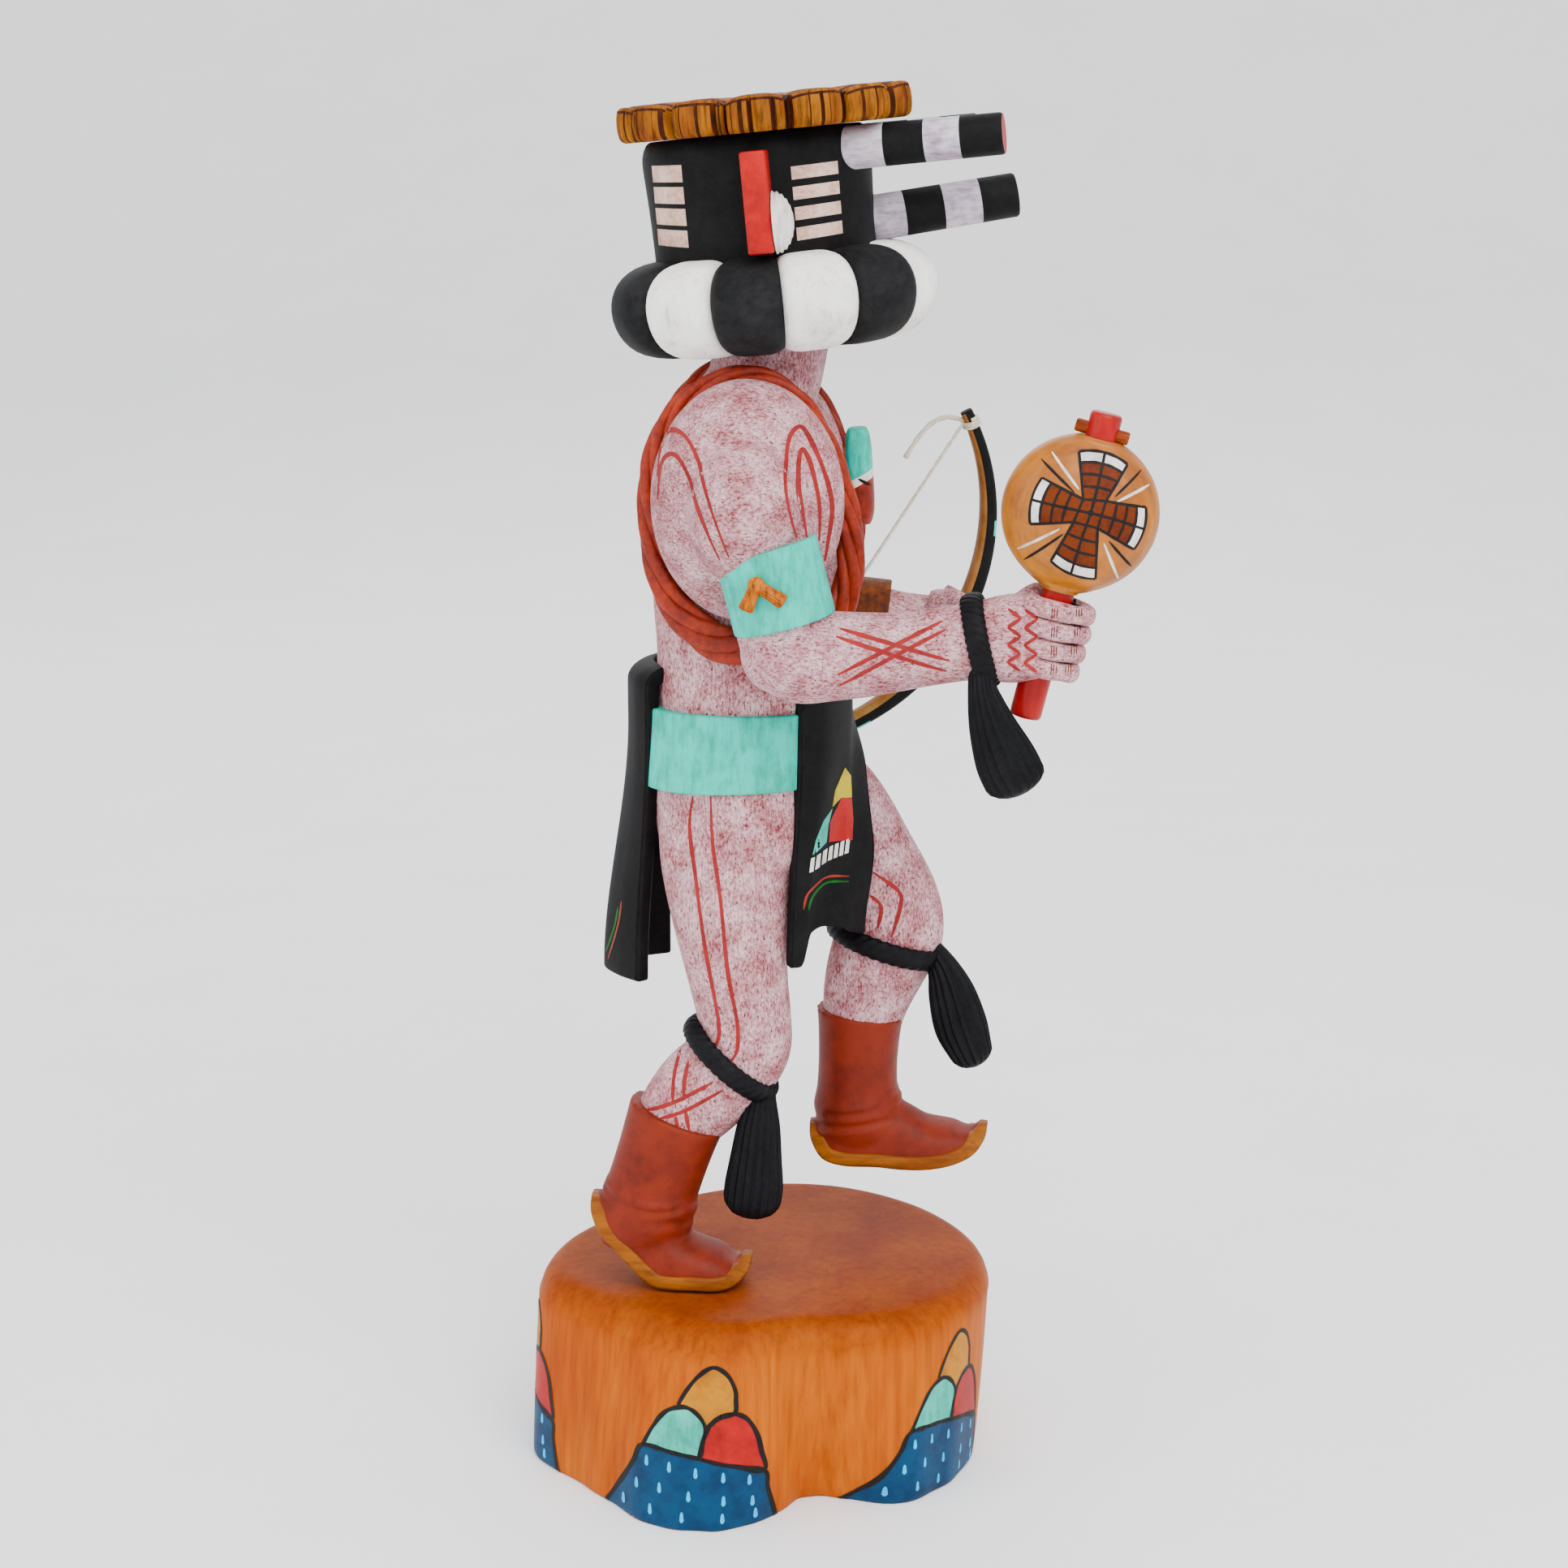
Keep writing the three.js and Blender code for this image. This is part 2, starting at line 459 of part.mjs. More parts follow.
function rightArmSolid() {
  const cap = limb(shoulder, { sides: 13, side: vec(1, 0, 0), round: [false, true] });
  return unite([
    cap,
    limb(upperArm),
    armbandOn(-1),
    limb(rightForearm, { side: vec(0, 1, 0) }),
    thumb(rightGrip, HANDLE_DIAMETER / 2, -1),
    grasp(rightGrip, HANDLE_DIAMETER / 2),
    ...fingers(rightGrip, HANDLE_DIAMETER / 2, -1),
  ]).subtract(figureSolid(FIT_GAP)).subtract(handleSolid(FIT_GAP)).subtract(gourdSolid(FIT_GAP));
}

function leftArmSolid() {
  const cap = limb(leftShoulder, { sides: 13, side: vec(1, 0, 0), round: [false, true] });
  return unite([
    cap,
    limb(leftUpperArm),
    armbandOn(1),
    armBand(cuffMiddle, [1, 0.03, -0.11], CUFF_WIDTH),
    limb(leftForearm, { side: vec(0, 1, 0) }),
    thumb(leftGrip, BOW_WIDTH / 2, 1),
    grasp(leftGrip, BOW_WIDTH / 2),
    ...fingers(leftGrip, BOW_WIDTH / 2, 1),
  ]).subtract(figureSolid(FIT_GAP)).subtract(bowSolid(FIT_GAP));
}

// Head: the barrel mask and the lobed ruff, in the head's own leaning frame
function maskSolid(grow = 0) {
  const radius = MASK_DIAMETER / 2 + grow;
  const profile = [[0, 5], [radius * 0.98, 5], [radius * 0.98, RUFF_HEIGHT], [radius * 0.99, MASK_HEIGHT * 0.7],
    [radius * 1.01, MASK_HEIGHT - 7], [radius * 0.985, MASK_HEIGHT - 2.5], [radius * 0.93, MASK_HEIGHT + grow],
    [0, MASK_HEIGHT + grow]];
  const lathe = new THREE.LatheGeometry(profile.map(([r, z]) => new THREE.Vector2(r, z)), 22);
  return solidOfGeometry(lathe.rotateX(90 * degree).translate(-MASK_SET_BACK, 0, 0));
}

function ruffSolid(grow = 0) {
  const start = -175;
  const rim = []; // angle, and how full the lobe is there
  RUFF_LOBE_WIDTHS.forEach((width, n) => {
    const from = start + RUFF_LOBE_WIDTHS.slice(0, n).reduce((sum, w) => sum + w, 0);
    [0, 0.24, 0.76].forEach((share) => rim.push([from + width * share, 1 - Math.abs(2 * share - 1) ** 5]));
  });
  const outer = RUFF_DIAMETER / 2 + grow;
  const inner = MASK_DIAMETER / 2 - 3;
  const across = RUFF_HEIGHT / 2;
  const turns = [-90, -50, -8, 34, 62, 90];
  const rings = turns.map((turn) => rim.map(([angle, full]) => {
    const swell = (outer - inner) * Math.cos(turn * degree) ** 0.62;
    const radius = inner + swell * (0.83 + 0.17 * full) - 2 * (1 - full);
    const z = across + (across + grow) * Math.sin(turn * degree) * (0.93 + 0.07 * full);
    return vec(radius * Math.cos(angle * degree), radius * Math.sin(angle * degree), z);
  }));
  return skin(rings);
}

function headSolid(grow = 0) {
  return moved(unite([maskSolid(grow), ruffSolid(grow)]), headTurn);
}

const faceTurn = new THREE.Matrix4().makeRotationZ(FACE_TURN * degree).premultiply(headTurn);

function tube(root, way, length, radius) {
  const start = vec(...root).applyMatrix4(faceTurn);
  const finish = start.clone().addScaledVector(vec(...way).transformDirection(faceTurn), length);
  return bar(start, finish, radius, 14, radius * 0.96).subtract(headSolid(FIT_GAP));
}

const eyeTube = (side) => tube([16.8, side * 16.5, 53.4],
  [Math.cos(EYE_TUBE_SPLAY * degree), side * Math.sin(EYE_TUBE_SPLAY * degree), 0], EYE_TUBE_LENGTH + 6, TUBE_DIAMETER / 2);
const mouthTube = () => tube([MASK_DIAMETER / 2 - 5, 0, 32.9],
  [Math.cos(MOUTH_TUBE_RISE * degree), 0, Math.sin(MOUTH_TUBE_RISE * degree)], MOUTH_TUBE_LENGTH + 4, TUBE_DIAMETER * 0.54);

const earForward = 1.4; // how far the ears stand forward of the ruff's middle

function ear(side) {
  const inside = 6;
  const under = 3;
  const box = new THREE.BoxGeometry(EAR_THICKNESS, EAR_REACH + inside, EAR_HEIGHT + under);
  box.translate(earForward, side * (MASK_DIAMETER / 2 + (EAR_REACH - inside) / 2), RUFF_HEIGHT + (EAR_HEIGHT - under) / 2);
  return moved(solidOfGeometry(box), headTurn).subtract(headSolid(FIT_GAP));
}

function earDome(side) {
  const profile = [[0, 0], [1, 0], [0.94, 0.4], [0.68, 0.8], [0, 1]];
  const points = profile.map(([r, h]) => new THREE.Vector2(r * EAR_DOME_RADIUS, h * EAR_DOME_HEIGHT));
  const dome = new THREE.LatheGeometry(points, 12).rotateZ(-90 * degree);
  dome.translate(earForward + EAR_THICKNESS / 2 + FIT_GAP, side * (MASK_DIAMETER / 2 + EAR_REACH - EAR_DOME_RADIUS + 1),
    RUFF_HEIGHT + EAR_DOME_RADIUS - 1.8);
  return moved(solidOfGeometry(dome), headTurn).subtract(headSolid(FIT_GAP));
}

// Crown: a thick disc of petals with split, bark-like edges
function crownSolid() {
  const perPetal = 4;
  const rim = Array.from({ length: CROWN_PETALS * perPetal }, (_, i) => {
    const petal = i / perPetal;
    const share = petal - Math.floor(petal);
    const angle = 360 / CROWN_PETALS * petal + 1;
    const arch = 1 - Math.abs(2 * share - 1) ** 2.6;
    const split = i % perPetal === 2 ? 0.02 : 0;
    const step = share < 0.08 ? 0.035 : 0;
    return { angle, full: 0.94 + 0.06 * arch - split - step, rise: arch * 0.9 };
  });
  const radius = CROWN_DIAMETER / 2;
  const low = MASK_HEIGHT + FIT_GAP;
  const ring = (size, z, arched) => rim.map(({ angle, full, rise }) => vec(
    CROWN_FORWARD + size * full * Math.cos(angle * degree),
    size * full * Math.sin(angle * degree), z + arched * rise));
  return moved(skin([
    ring(radius * 0.97, low, 0),
    ring(radius, low + CROWN_THICKNESS * 0.4, 0),
    ring(radius * 0.985, low + CROWN_THICKNESS - 1.8, 1),
    ring(radius * 0.93, low + CROWN_THICKNESS - 0.9, 1),
  ]), headTurn);
}

// Yarn: a closed ring of twisted strands over a shoulder and under the arm
const yarnRoute = [ // place, then the half width beside the body and the half thickness
  [-2, -29, 267.4, 3.4, 3], [12, -29.2, 260, 3.6, 3], [21.6, -28.4, 243, 3.8, 3.2], [26.4, -25.6, 221, 4, 3.4],
  [23.5, -27, 203, 4.4, 3.4], [10, -31.6, 194.8, 5.2, 3.4], [-8, -32.2, 192.6, 5.6, 3.4], [-22.6, -28.5, 203, 4.8, 3.4],
  [-28.7, -25.4, 222, 4.5, 3.5], [-27.9, -26.8, 244, 4.2, 3.3], [-19, -28.6, 260.6, 3.4, 3],
];

function yarnRing(side) {
  const back = side > 0 ? LEFT_SET_BACK : 0;
  const closed = [...yarnRoute, yarnRoute[0]].map(([x, y, ...rest]) => [x - back, y * -side, ...rest]);
  const rows = smoothRows(closed, 2).slice(0, -1);
  const spine = rows.map(([x, y, z]) => onFigure(x, y, z));
  const outward = vec(0, side, 0);
  const count = 5;
  const rings = spine.map((point, i) => {
    const way = spine[(i + 1) % spine.length].clone().sub(spine[(i - 1 + spine.length) % spine.length]).normalize();
    const thick = outward.clone().addScaledVector(way, -outward.dot(way)).normalize();
    const wide = way.clone().cross(thick);
    const share = YARN_WIDTH / 8;
    return oval(count, rows[i][3] * share, rows[i][4] * share).map(([u, v], n) => {
      const strand = 1 + 0.1 * Math.cos(3 * ((2 * Math.PI * n) / count) - i * 1.1);
      return point.clone().addScaledVector(wide, u * strand).addScaledVector(thick, v * strand);
    });
  });
  const faces = [];
  rings.forEach((_, i) => {
    for (let j = 0; j < count; j += 1) {
      const [here, next, k] = [i * count, ((i + 1) % rings.length) * count, (j + 1) % count];
      faces.push([here + j, here + k, next + k], [here + j, next + k, next + j]);
    }
  });
  return solidOf(rings.flat(), faces);
}

// Tie: a band round a limb with its hanging tassel
function tieBand({ middle, way, wide, deep }) {
  const straight = vec(...way).normalize();
  const middlePoint = onFigure(...middle);
  const [frame] = framesAlong([middlePoint, middlePoint.clone().add(straight)], vec(0, 1, 0));
  const ringAt = (along, proud) => oval(11, wide * stature + proud, deep * stature + proud)
    .map((spot) => placed({ ...frame, point: middlePoint.clone().addScaledVector(straight, along) }, spot));
  const half = TIE_WIDTH / 2;
  return skin([ringAt(-half, TIE_THICKNESS * 0.5), ringAt(0, TIE_THICKNESS), ringAt(half, TIE_THICKNESS * 0.5)]);
}

const tassel = (rows) => limb(rows, { sides: 7 });
const rightKneeTassel = [
  [1.2, -21.5, 60.5, 3.4, 3.6], [0.9, -23, 56, 3.4, 4.2], [0.2, -24, 49, 4.4, 5.6], [-0.6, -24.4, 39, 5.4, 6.6],
  [-1.2, -24.4, 30, 6, 7.3], [-1.8, -24.2, 23.6, 5, 6.4],
];
const leftKneeTassel = [
  [49.4, 14, 92.4, 3.4, 3.4], [52.8, 11.4, 87, 3.8, 4.8], [55.4, 9.8, 80, 4.6, 6.6], [58.2, 9, 70.5, 5.2, 7.4],
  [61.2, 9, 62.8, 5, 6.2],
];
const wristTassel = [
  [63.4, -51, 189, 3.4, 3.4], [63.8, -52.6, 184, 3.6, 3.8], [66.6, -53, 175, 4.4, 5.6], [70.6, -53, 165, 5, 6.8],
  [74.4, -52.8, 157.8, 4.6, 6],
];
const wristTiePlace = { middle: [61, -45.9, 197], way: [0.97, -0.04, 0.22], wide: 8.9, deep: 11.2 };

// Flaps: the apron's cloth, folded over the belt in front and behind
const flapColumns = 5;
const smoothStep = (from, to, value) => THREE.MathUtils.smoothstep(value, from, to);

function across(section, share) { // a point at a share of the way along an open section
  const rows = smoothRows(section, 8);
  const place = share * (rows.length - 1);
  const low = Math.min(Math.floor(place), rows.length - 2);
  return rows[low].map((value, n) => value + (rows[low + 1][n] - value) * (place - low));
}

const frontTop = [[12.2, -25.4], [19.4, -18.6], [24.2, -8], [25.8, 0], [23.6, 9.5]];
const frontHem = [[9.4, -24.6], [14.8, -21.6], [18, -12.6], [26.4, -6.6], [30, 0.6]];
const backTop = [[-30.8, -18.5], [-35, -12], [-38, -1], [-36.6, 10], [-31.2, 18.5]];
const backHem = [[-34.6, -14.5], [-41.6, -7], [-46.6, 3.5], [-42.5, 15], [-31, 22.5]];

function flap(top, hem, heights, fold, hemRise) {
  const [high, low] = heights;
  const sheet = (u, v) => {
    const [upper, lower] = [across(top, u), across(hem, u)];
    const drop = Math.max(v - fold, 0) / (1 - fold);
    const blend = smoothStep(0.12, 1, drop);
    const x = upper[0] + (lower[0] - upper[0]) * blend;
    const y = upper[1] + (lower[1] - upper[1]) * smoothStep(0, 0.8, drop);
    const bottom = low + hemRise(u);
    const roll = Math.min(v / fold, 1) * 90 * degree;
    const tuck = (1 - Math.sin(roll)) * 6.5;
    return onFigure(x - Math.sign(x) * tuck, y, high - 6 * (1 - Math.cos(roll)) - (high - 6 - bottom) * drop);
  };
  const inward = (u, v) => {
    const [upper, lower] = [across(top, u), across(hem, u)];
    const drop = smoothStep(0, 1, Math.max(v - fold, 0) / (1 - fold));
    const [ahead, behind] = [Math.min(u + 0.05, 1), Math.max(u - 0.05, 0)];
    const run = across(top, ahead).map((value, n) => value - across(top, behind)[n]);
    const runLow = across(hem, ahead).map((value, n) => value - across(hem, behind)[n]);
    const along = [run[0] + (runLow[0] - run[0]) * drop, run[1] + (runLow[1] - run[1]) * drop];
    const roll = Math.min(v / fold, 1) * 90 * degree;
    const forward = Math.sign(upper[0] + lower[0]);
    return vec(-forward * Math.abs(along[1]), forward * along[0], 0).normalize()
      .multiplyScalar(Math.sin(roll) * 0.999).add(vec(0, 0, -Math.cos(roll))).normalize().multiplyScalar(FLAP_THICKNESS);
  };
  return slab(sheet, inward, flapColumns, 7);
}

const frontFlap = () => flap(frontTop, frontHem, [182, 96.5], 0.2,
  (u) => 9.5 * smoothStep(0.16, 0.3, u) - 5 * smoothStep(0.5, 1, u));
const backFlap = () => flap(backTop, backHem, [183, 88.5], 0.2, () => 0);

// Pendant: a long bead at the front of the chest
function pendantSolid() {
  const rows = [[0, 0.72], [0.12, 0.94], [0.3, 1], [0.72, 1], [0.9, 0.9], [1, 0.62]];
  const middle = onFigure(27.6, 0, 237.5);
  const lean = new THREE.Matrix4().makeRotationY(-4 * degree).setPosition(middle);
  const rings = rows.map(([share, size]) => oval(10, (PENDANT_THICKNESS / 2) * size, (PENDANT_WIDTH / 2) * size, 3)
    .map(([u, v]) => vec(u, v, (share - 0.5) * PENDANT_HEIGHT).applyMatrix4(lean)));
  return skin(rings);
}

// Knot: a wound middle with two stubby ends, on an armband
function knot(place, side) {
  const middle = onFigure(...place);
  const reach = KNOT_LENGTH;
  const end = (x, z) => bar(middle.clone(), middle.clone().add(vec(x, 0.6 * side, z)), 1.5, 6, 1.9);
  const wound = solidOfGeometry(new THREE.SphereGeometry(2.5, 5, 3).translate(middle.x, middle.y, middle.z));
  return unite([wound, end(-0.32 * reach, -0.78 * reach), end(0.86 * reach, -0.5 * reach)]);
}

// Rattle
function gourdSolid(grow = 0) {
  const half = GOURD_DIAMETER / 2;
  const rows = [[-1.13, 0.16], [-0.98, 0.3], [-0.8, 0.6], [-0.42, 0.907], [0, 1], [0.42, 0.907], [0.8, 0.6],
    [0.97, 0.26]];
  const frames = framesAlong(rows.map(([along]) => gourdMiddle.clone().addScaledVector(rightGrip.way, along * half)),
    vec(0, 1, 0));
  const rings = frames.map((frame, i) => {
    const neck = HANDLE_DIAMETER / 2 + 0.8;
    const wide = Math.max((GOURD_THICKNESS / 2) * rows[i][1], neck) + grow;
    return oval(15, wide, Math.max(half * rows[i][1], neck) + grow, 2.15).map((spot) => placed(frame, spot));
  });
  return skin(rings);
}

function pegSolid(grow = 0) {
  const lie = vec(0.96, -0.06, -0.27).normalize();
  const half = PEG_LENGTH / 2 + grow;
  return bar(pegMiddle.clone().addScaledVector(lie, -half), pegMiddle.clone().addScaledVector(lie, half),
    PEG_DIAMETER / 2 + grow, 8);
}

// Bowstring: nock to nock, with its knot and loose tail
function stringSolid() {
  const nock = 0.93;
  const inward = bulgeWay.clone().negate();
  const clear = BOW_THICKNESS * 0.36 + STRING_DIAMETER / 2 + FIT_GAP;
  const [top, low] = [nock, -nock].map((share) => bowAt(share).addScaledVector(inward, clear));
  const radius = STRING_DIAMETER / 2;
  const tailTurns = [0, 0.25, 0.5, 0.75, 1].map((share) => top.clone()
    .add(vec(-0.78 * share, 0.1 * share, 0.12 * Math.sin(share * Math.PI) - 0.5 * share ** 2).multiplyScalar(STRING_TAIL)));
  const rings = framesAlong(tailTurns, vec(0, 1, 0)).map((frame) => oval(5, radius, radius).map((spot) => placed(frame, spot)));
  const knotBall = solidOfGeometry(new THREE.SphereGeometry(1.5, 6, 4).translate(top.x, top.y, top.z));
  return unite([bar(low, top, radius, 6), skin(rings), knotBall]).subtract(bowSolid(FIT_GAP));
}

// Materials by finish
const finishes = {
  wood: { color: 0xc07a3a, roughness: 0.55 },
  skin: { color: 0xcdb9be, roughness: 0.75 },
  black: { color: 0x222423, roughness: 0.7 },
  bark: { color: 0xb27a3a, roughness: 0.8 },
  striped: { color: 0x8d8b8d, roughness: 0.7 },
  red: { color: 0xc4201c, roughness: 0.55 },
  white: { color: 0xdcdcd2, roughness: 0.75 },
  yarn: { color: 0xa33c20, roughness: 0.6 },
  turquoise: { color: 0x4fd3b4, roughness: 0.6 },
  gourd: { color: 0xc98f3c, roughness: 0.5 },
  twine: { color: 0xcfc8b4, roughness: 0.85 },
};

const doll = new THREE.Group();
const figureGroup = new THREE.Group();
figureGroup.position.z = footing;
doll.add(figureGroup);

function add(group, name, solid, finish) {
  const mesh = solid.getMesh();
  const geometry = new THREE.BufferGeometry();
  geometry.setAttribute('position', new THREE.BufferAttribute(new Float32Array(mesh.vertProperties), 3));
  geometry.setIndex(new THREE.BufferAttribute(new Uint32Array(mesh.triVerts), 1));
  geometry.computeVertexNormals();
  const piece = new THREE.Mesh(geometry, new THREE.MeshStandardMaterial({ metalness: 0, ...finishes[finish] }));
  piece.name = name;
  group.add(piece);
}

const clearOf = (solid, ...neighbours) => neighbours.reduce((left, other) => left.subtract(other), solid);
const figure = figureSolid();
const roomForFigure = figureSolid(FIT_GAP);
const roomForShoulder = (side) => limb(side < 0 ? shoulder : leftShoulder,
  { sides: 13, grow: FIT_GAP, side: vec(1, 0, 0), round: [false, true] });
const roomForArm = (side) => unite([
  limb(side < 0 ? upperArm : leftUpperArm, { grow: FIT_GAP }),
  armbandOn(side, FIT_GAP),
  limb(side < 0 ? rightForearm : leftForearm, { grow: FIT_GAP }),
]);

add(doll, 'base', baseSolid(), 'wood');
add(figureGroup, 'figure', figure, 'skin');
add(figureGroup, 'right_arm', rightArmSolid(), 'skin');
add(figureGroup, 'left_arm', leftArmSolid(), 'skin');
add(figureGroup, 'head', headSolid(), 'black');
add(figureGroup, 'crown', crownSolid(), 'bark');
add(figureGroup, 'mouth_tube', mouthTube(), 'striped');
for (const [label, side] of [['right', -1], ['left', 1]]) {
  add(figureGroup, `${label}_eye_tube`, eyeTube(side), 'striped');
  add(figureGroup, `${label}_ear`, ear(side), 'red');
  add(figureGroup, `${label}_ear_dome`, earDome(side), 'white');
  add(figureGroup, `${label}_yarn_loop`, clearOf(yarnRing(side), roomForFigure, roomForShoulder(side), roomForArm(side)), 'yarn');
}
add(figureGroup, 'chest_pendant', clearOf(pendantSolid(), roomForFigure), 'turquoise');
add(figureGroup, 'front_flap', clearOf(frontFlap(), roomForFigure), 'black');
add(figureGroup, 'back_flap', clearOf(backFlap(), roomForFigure), 'black');
add(figureGroup, 'right_knee_tie', clearOf(unite([tieBand(rightTiePlace), tassel(rightKneeTassel)]), roomForFigure), 'black');
add(figureGroup, 'left_knee_tie', clearOf(unite([tieBand(leftTiePlace), tassel(leftKneeTassel)]), roomForFigure,
  limb(leftLeg, { grow: 2 * FIT_GAP })), 'black');
add(figureGroup, 'right_wrist_tie', clearOf(unite([tieBand(wristTiePlace), tassel(wristTassel)]),
  limb(rightForearm, { grow: FIT_GAP })), 'black');
add(figureGroup, 'right_armband_knot', knot([3.6, -59, 213], -1), 'wood');
add(figureGroup, 'left_armband_knot', knot([-2, 60, 213], 1), 'wood');
add(figureGroup, 'rattle_gourd', gourdSolid().subtract(handleSolid(FIT_GAP)), 'gourd');
add(figureGroup, 'rattle_handle', handleSolid().subtract(pegSolid(FIT_GAP)), 'red');
add(figureGroup, 'rattle_peg', pegSolid(), 'wood');
add(figureGroup, 'bow', bowSolid(), 'black');
add(figureGroup, 'bowstring', stringSolid(), 'twine');

export default doll;
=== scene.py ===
import bpy
import bmesh
import math
from mathutils import Matrix, Vector
from mathutils.bvhtree import BVHTree


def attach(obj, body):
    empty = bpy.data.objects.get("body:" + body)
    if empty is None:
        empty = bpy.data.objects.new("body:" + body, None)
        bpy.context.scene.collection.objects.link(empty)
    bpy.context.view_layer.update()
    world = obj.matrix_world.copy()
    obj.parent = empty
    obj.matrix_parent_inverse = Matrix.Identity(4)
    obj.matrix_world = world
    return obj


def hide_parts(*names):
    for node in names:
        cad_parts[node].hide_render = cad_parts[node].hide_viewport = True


# A carved dancing doll on a lobed base. Tables are in millimetres, meshes in metres.
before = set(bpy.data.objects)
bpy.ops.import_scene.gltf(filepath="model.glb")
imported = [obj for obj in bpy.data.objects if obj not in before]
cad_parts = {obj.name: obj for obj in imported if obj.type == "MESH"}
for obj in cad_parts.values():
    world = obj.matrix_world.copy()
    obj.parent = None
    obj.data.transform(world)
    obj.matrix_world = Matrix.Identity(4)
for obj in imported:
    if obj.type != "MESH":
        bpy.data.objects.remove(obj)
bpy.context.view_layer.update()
scene = bpy.context.scene
mm = 0.001
sideways = Vector((0, 1, 0))
footing = 58.3  # the height of the sole over the base's underside

print("camera, floor and light")
view = {"place": (77.4, -910.6, 405), "down": 12.4, "turn": 4.5, "lens": 73.23}
camera = bpy.data.objects.new("camera", bpy.data.cameras.new("camera"))
camera.location = Vector(view["place"]) * mm
camera.rotation_euler = (math.radians(90 - view["down"]), 0, math.radians(view["turn"]))
camera.data.lens = view["lens"]
camera.data.sensor_width = 36
camera.data.clip_start = 0.05
scene.collection.objects.link(camera)
scene.camera = camera


def srgb(red, green, blue):
    # Screen colour to the shader's own, deepened as the bright studio washes colours out.
    deep = [((value / 255 + 0.055) / 1.055) ** 2.75 for value in (red, green, blue)]
    grey = 0.21 * deep[0] + 0.72 * deep[1] + 0.07 * deep[2]
    return tuple(max(0.0, grey + (value - grey) * 1.3) for value in deep) + (1.0,)


# Materials
def newMaterial(name, roughness=0.6, coat=0.0, shine=0.14):
    material = bpy.data.materials.new(name)
    material.use_nodes = True
    nodes = material.node_tree.nodes
    shader = nodes["Principled BSDF"]
    shader.inputs["Roughness"].default_value = roughness
    shader.inputs["Coat Weight"].default_value = coat
    shader.inputs["Coat Roughness"].default_value = 0.25
    shader.inputs["Specular IOR Level"].default_value = shine
    return material, nodes, material.node_tree.links, shader


def noiseNode(nodes, links, stretch, scale, detail=4.0, rough=0.6):
    place = nodes.new("ShaderNodeTexCoord")
    mapping = nodes.new("ShaderNodeMapping")
    mapping.inputs["Scale"].default_value = stretch
    links.new(place.outputs["Object"], mapping.inputs["Vector"])
    noise = nodes.new("ShaderNodeTexNoise")
    noise.inputs["Scale"].default_value = scale
    noise.inputs["Detail"].default_value = detail
    noise.inputs["Roughness"].default_value = rough
    links.new(mapping.outputs["Vector"], noise.inputs["Vector"])
    return noise


def rampNode(nodes, links, source, stops):
    ramp = nodes.new("ShaderNodeValToRGB")
    while len(ramp.color_ramp.elements) < len(stops):
        ramp.color_ramp.elements.new(0.5)
    for element, (place, colour) in zip(ramp.color_ramp.elements, stops):
        element.position = place
        element.color = colour if isinstance(colour, tuple) else (colour, colour, colour, 1)
    links.new(source, ramp.inputs["Fac"])
    return ramp


def mixNode(nodes, links, share, first, second, way="MIX"):
    mix = nodes.new("ShaderNodeMix")
    mix.data_type = "RGBA"
    mix.blend_type = way
    for socket, value in ((mix.inputs["Factor"], share), (mix.inputs["A"], first),
            (mix.inputs["B"], second)):
        if isinstance(value, bpy.types.NodeSocket):
            links.new(value, socket)
        else:
            socket.default_value = value
    return mix.outputs["Result"]


def bumpNode(nodes, links, height, strength, distance, shader):
    bump = nodes.new("ShaderNodeBump")
    bump.inputs["Strength"].default_value = strength
    bump.inputs["Distance"].default_value = distance
    links.new(height, bump.inputs["Height"])
    links.new(bump.outputs["Normal"], shader.inputs["Normal"])


def brushedPaint(name, settings):
    # Hand paint: a ground colour that shows through dabs and strokes of the top colour.
    material, nodes, links, shader = newMaterial(name, settings["roughness"], settings.get("coat", 0),
        settings.get("shine", 0.14))
    stretch = settings.get("stretch", (1, 1, 1))
    broad = noiseNode(nodes, links, (1, 1, 1), settings.get("broad", 90), 3, 0.6)
    fine = noiseNode(nodes, links, stretch, settings["fine"], 5, 0.72)
    joined = nodes.new("ShaderNodeMath")
    joined.operation = "MULTIPLY_ADD"
    links.new(broad.outputs["Fac"], joined.inputs[0])
    joined.inputs[1].default_value = settings.get("patchy", 0.5)
    links.new(fine.outputs["Fac"], joined.inputs[2])
    low, high = settings["limits"]
    cover = rampNode(nodes, links, joined.outputs["Value"], [(low, 0.0), (high, 1.0)])
    colour = mixNode(nodes, links, cover.outputs["Color"], srgb(*settings["ground"]),
        srgb(*settings["top"]))
    tint = rampNode(nodes, links, broad.outputs["Fac"],
        [(0.35, srgb(*settings["shade"])), (0.62, (1, 1, 1, 1))])
    colour = mixNode(nodes, links, 1.0, colour, tint.outputs["Color"], "MULTIPLY")
    if "fleck" in settings:
        flecks = noiseNode(nodes, links, settings.get("fleckStretch", stretch), settings["fleckScale"], 3,
            0.7)
        spots = rampNode(nodes, links, flecks.outputs["Fac"],
            [(settings["fleckFrom"], 0.0), (settings["fleckFrom"] + 0.07, 1.0)])
        colour = mixNode(nodes, links, spots.outputs["Color"], colour, srgb(*settings["fleck"]))
    links.new(colour, shader.inputs["Base Color"])
    bumpNode(nodes, links, fine.outputs["Fac"], settings.get("bump", 0.35), 0.0004, shader)
    return material


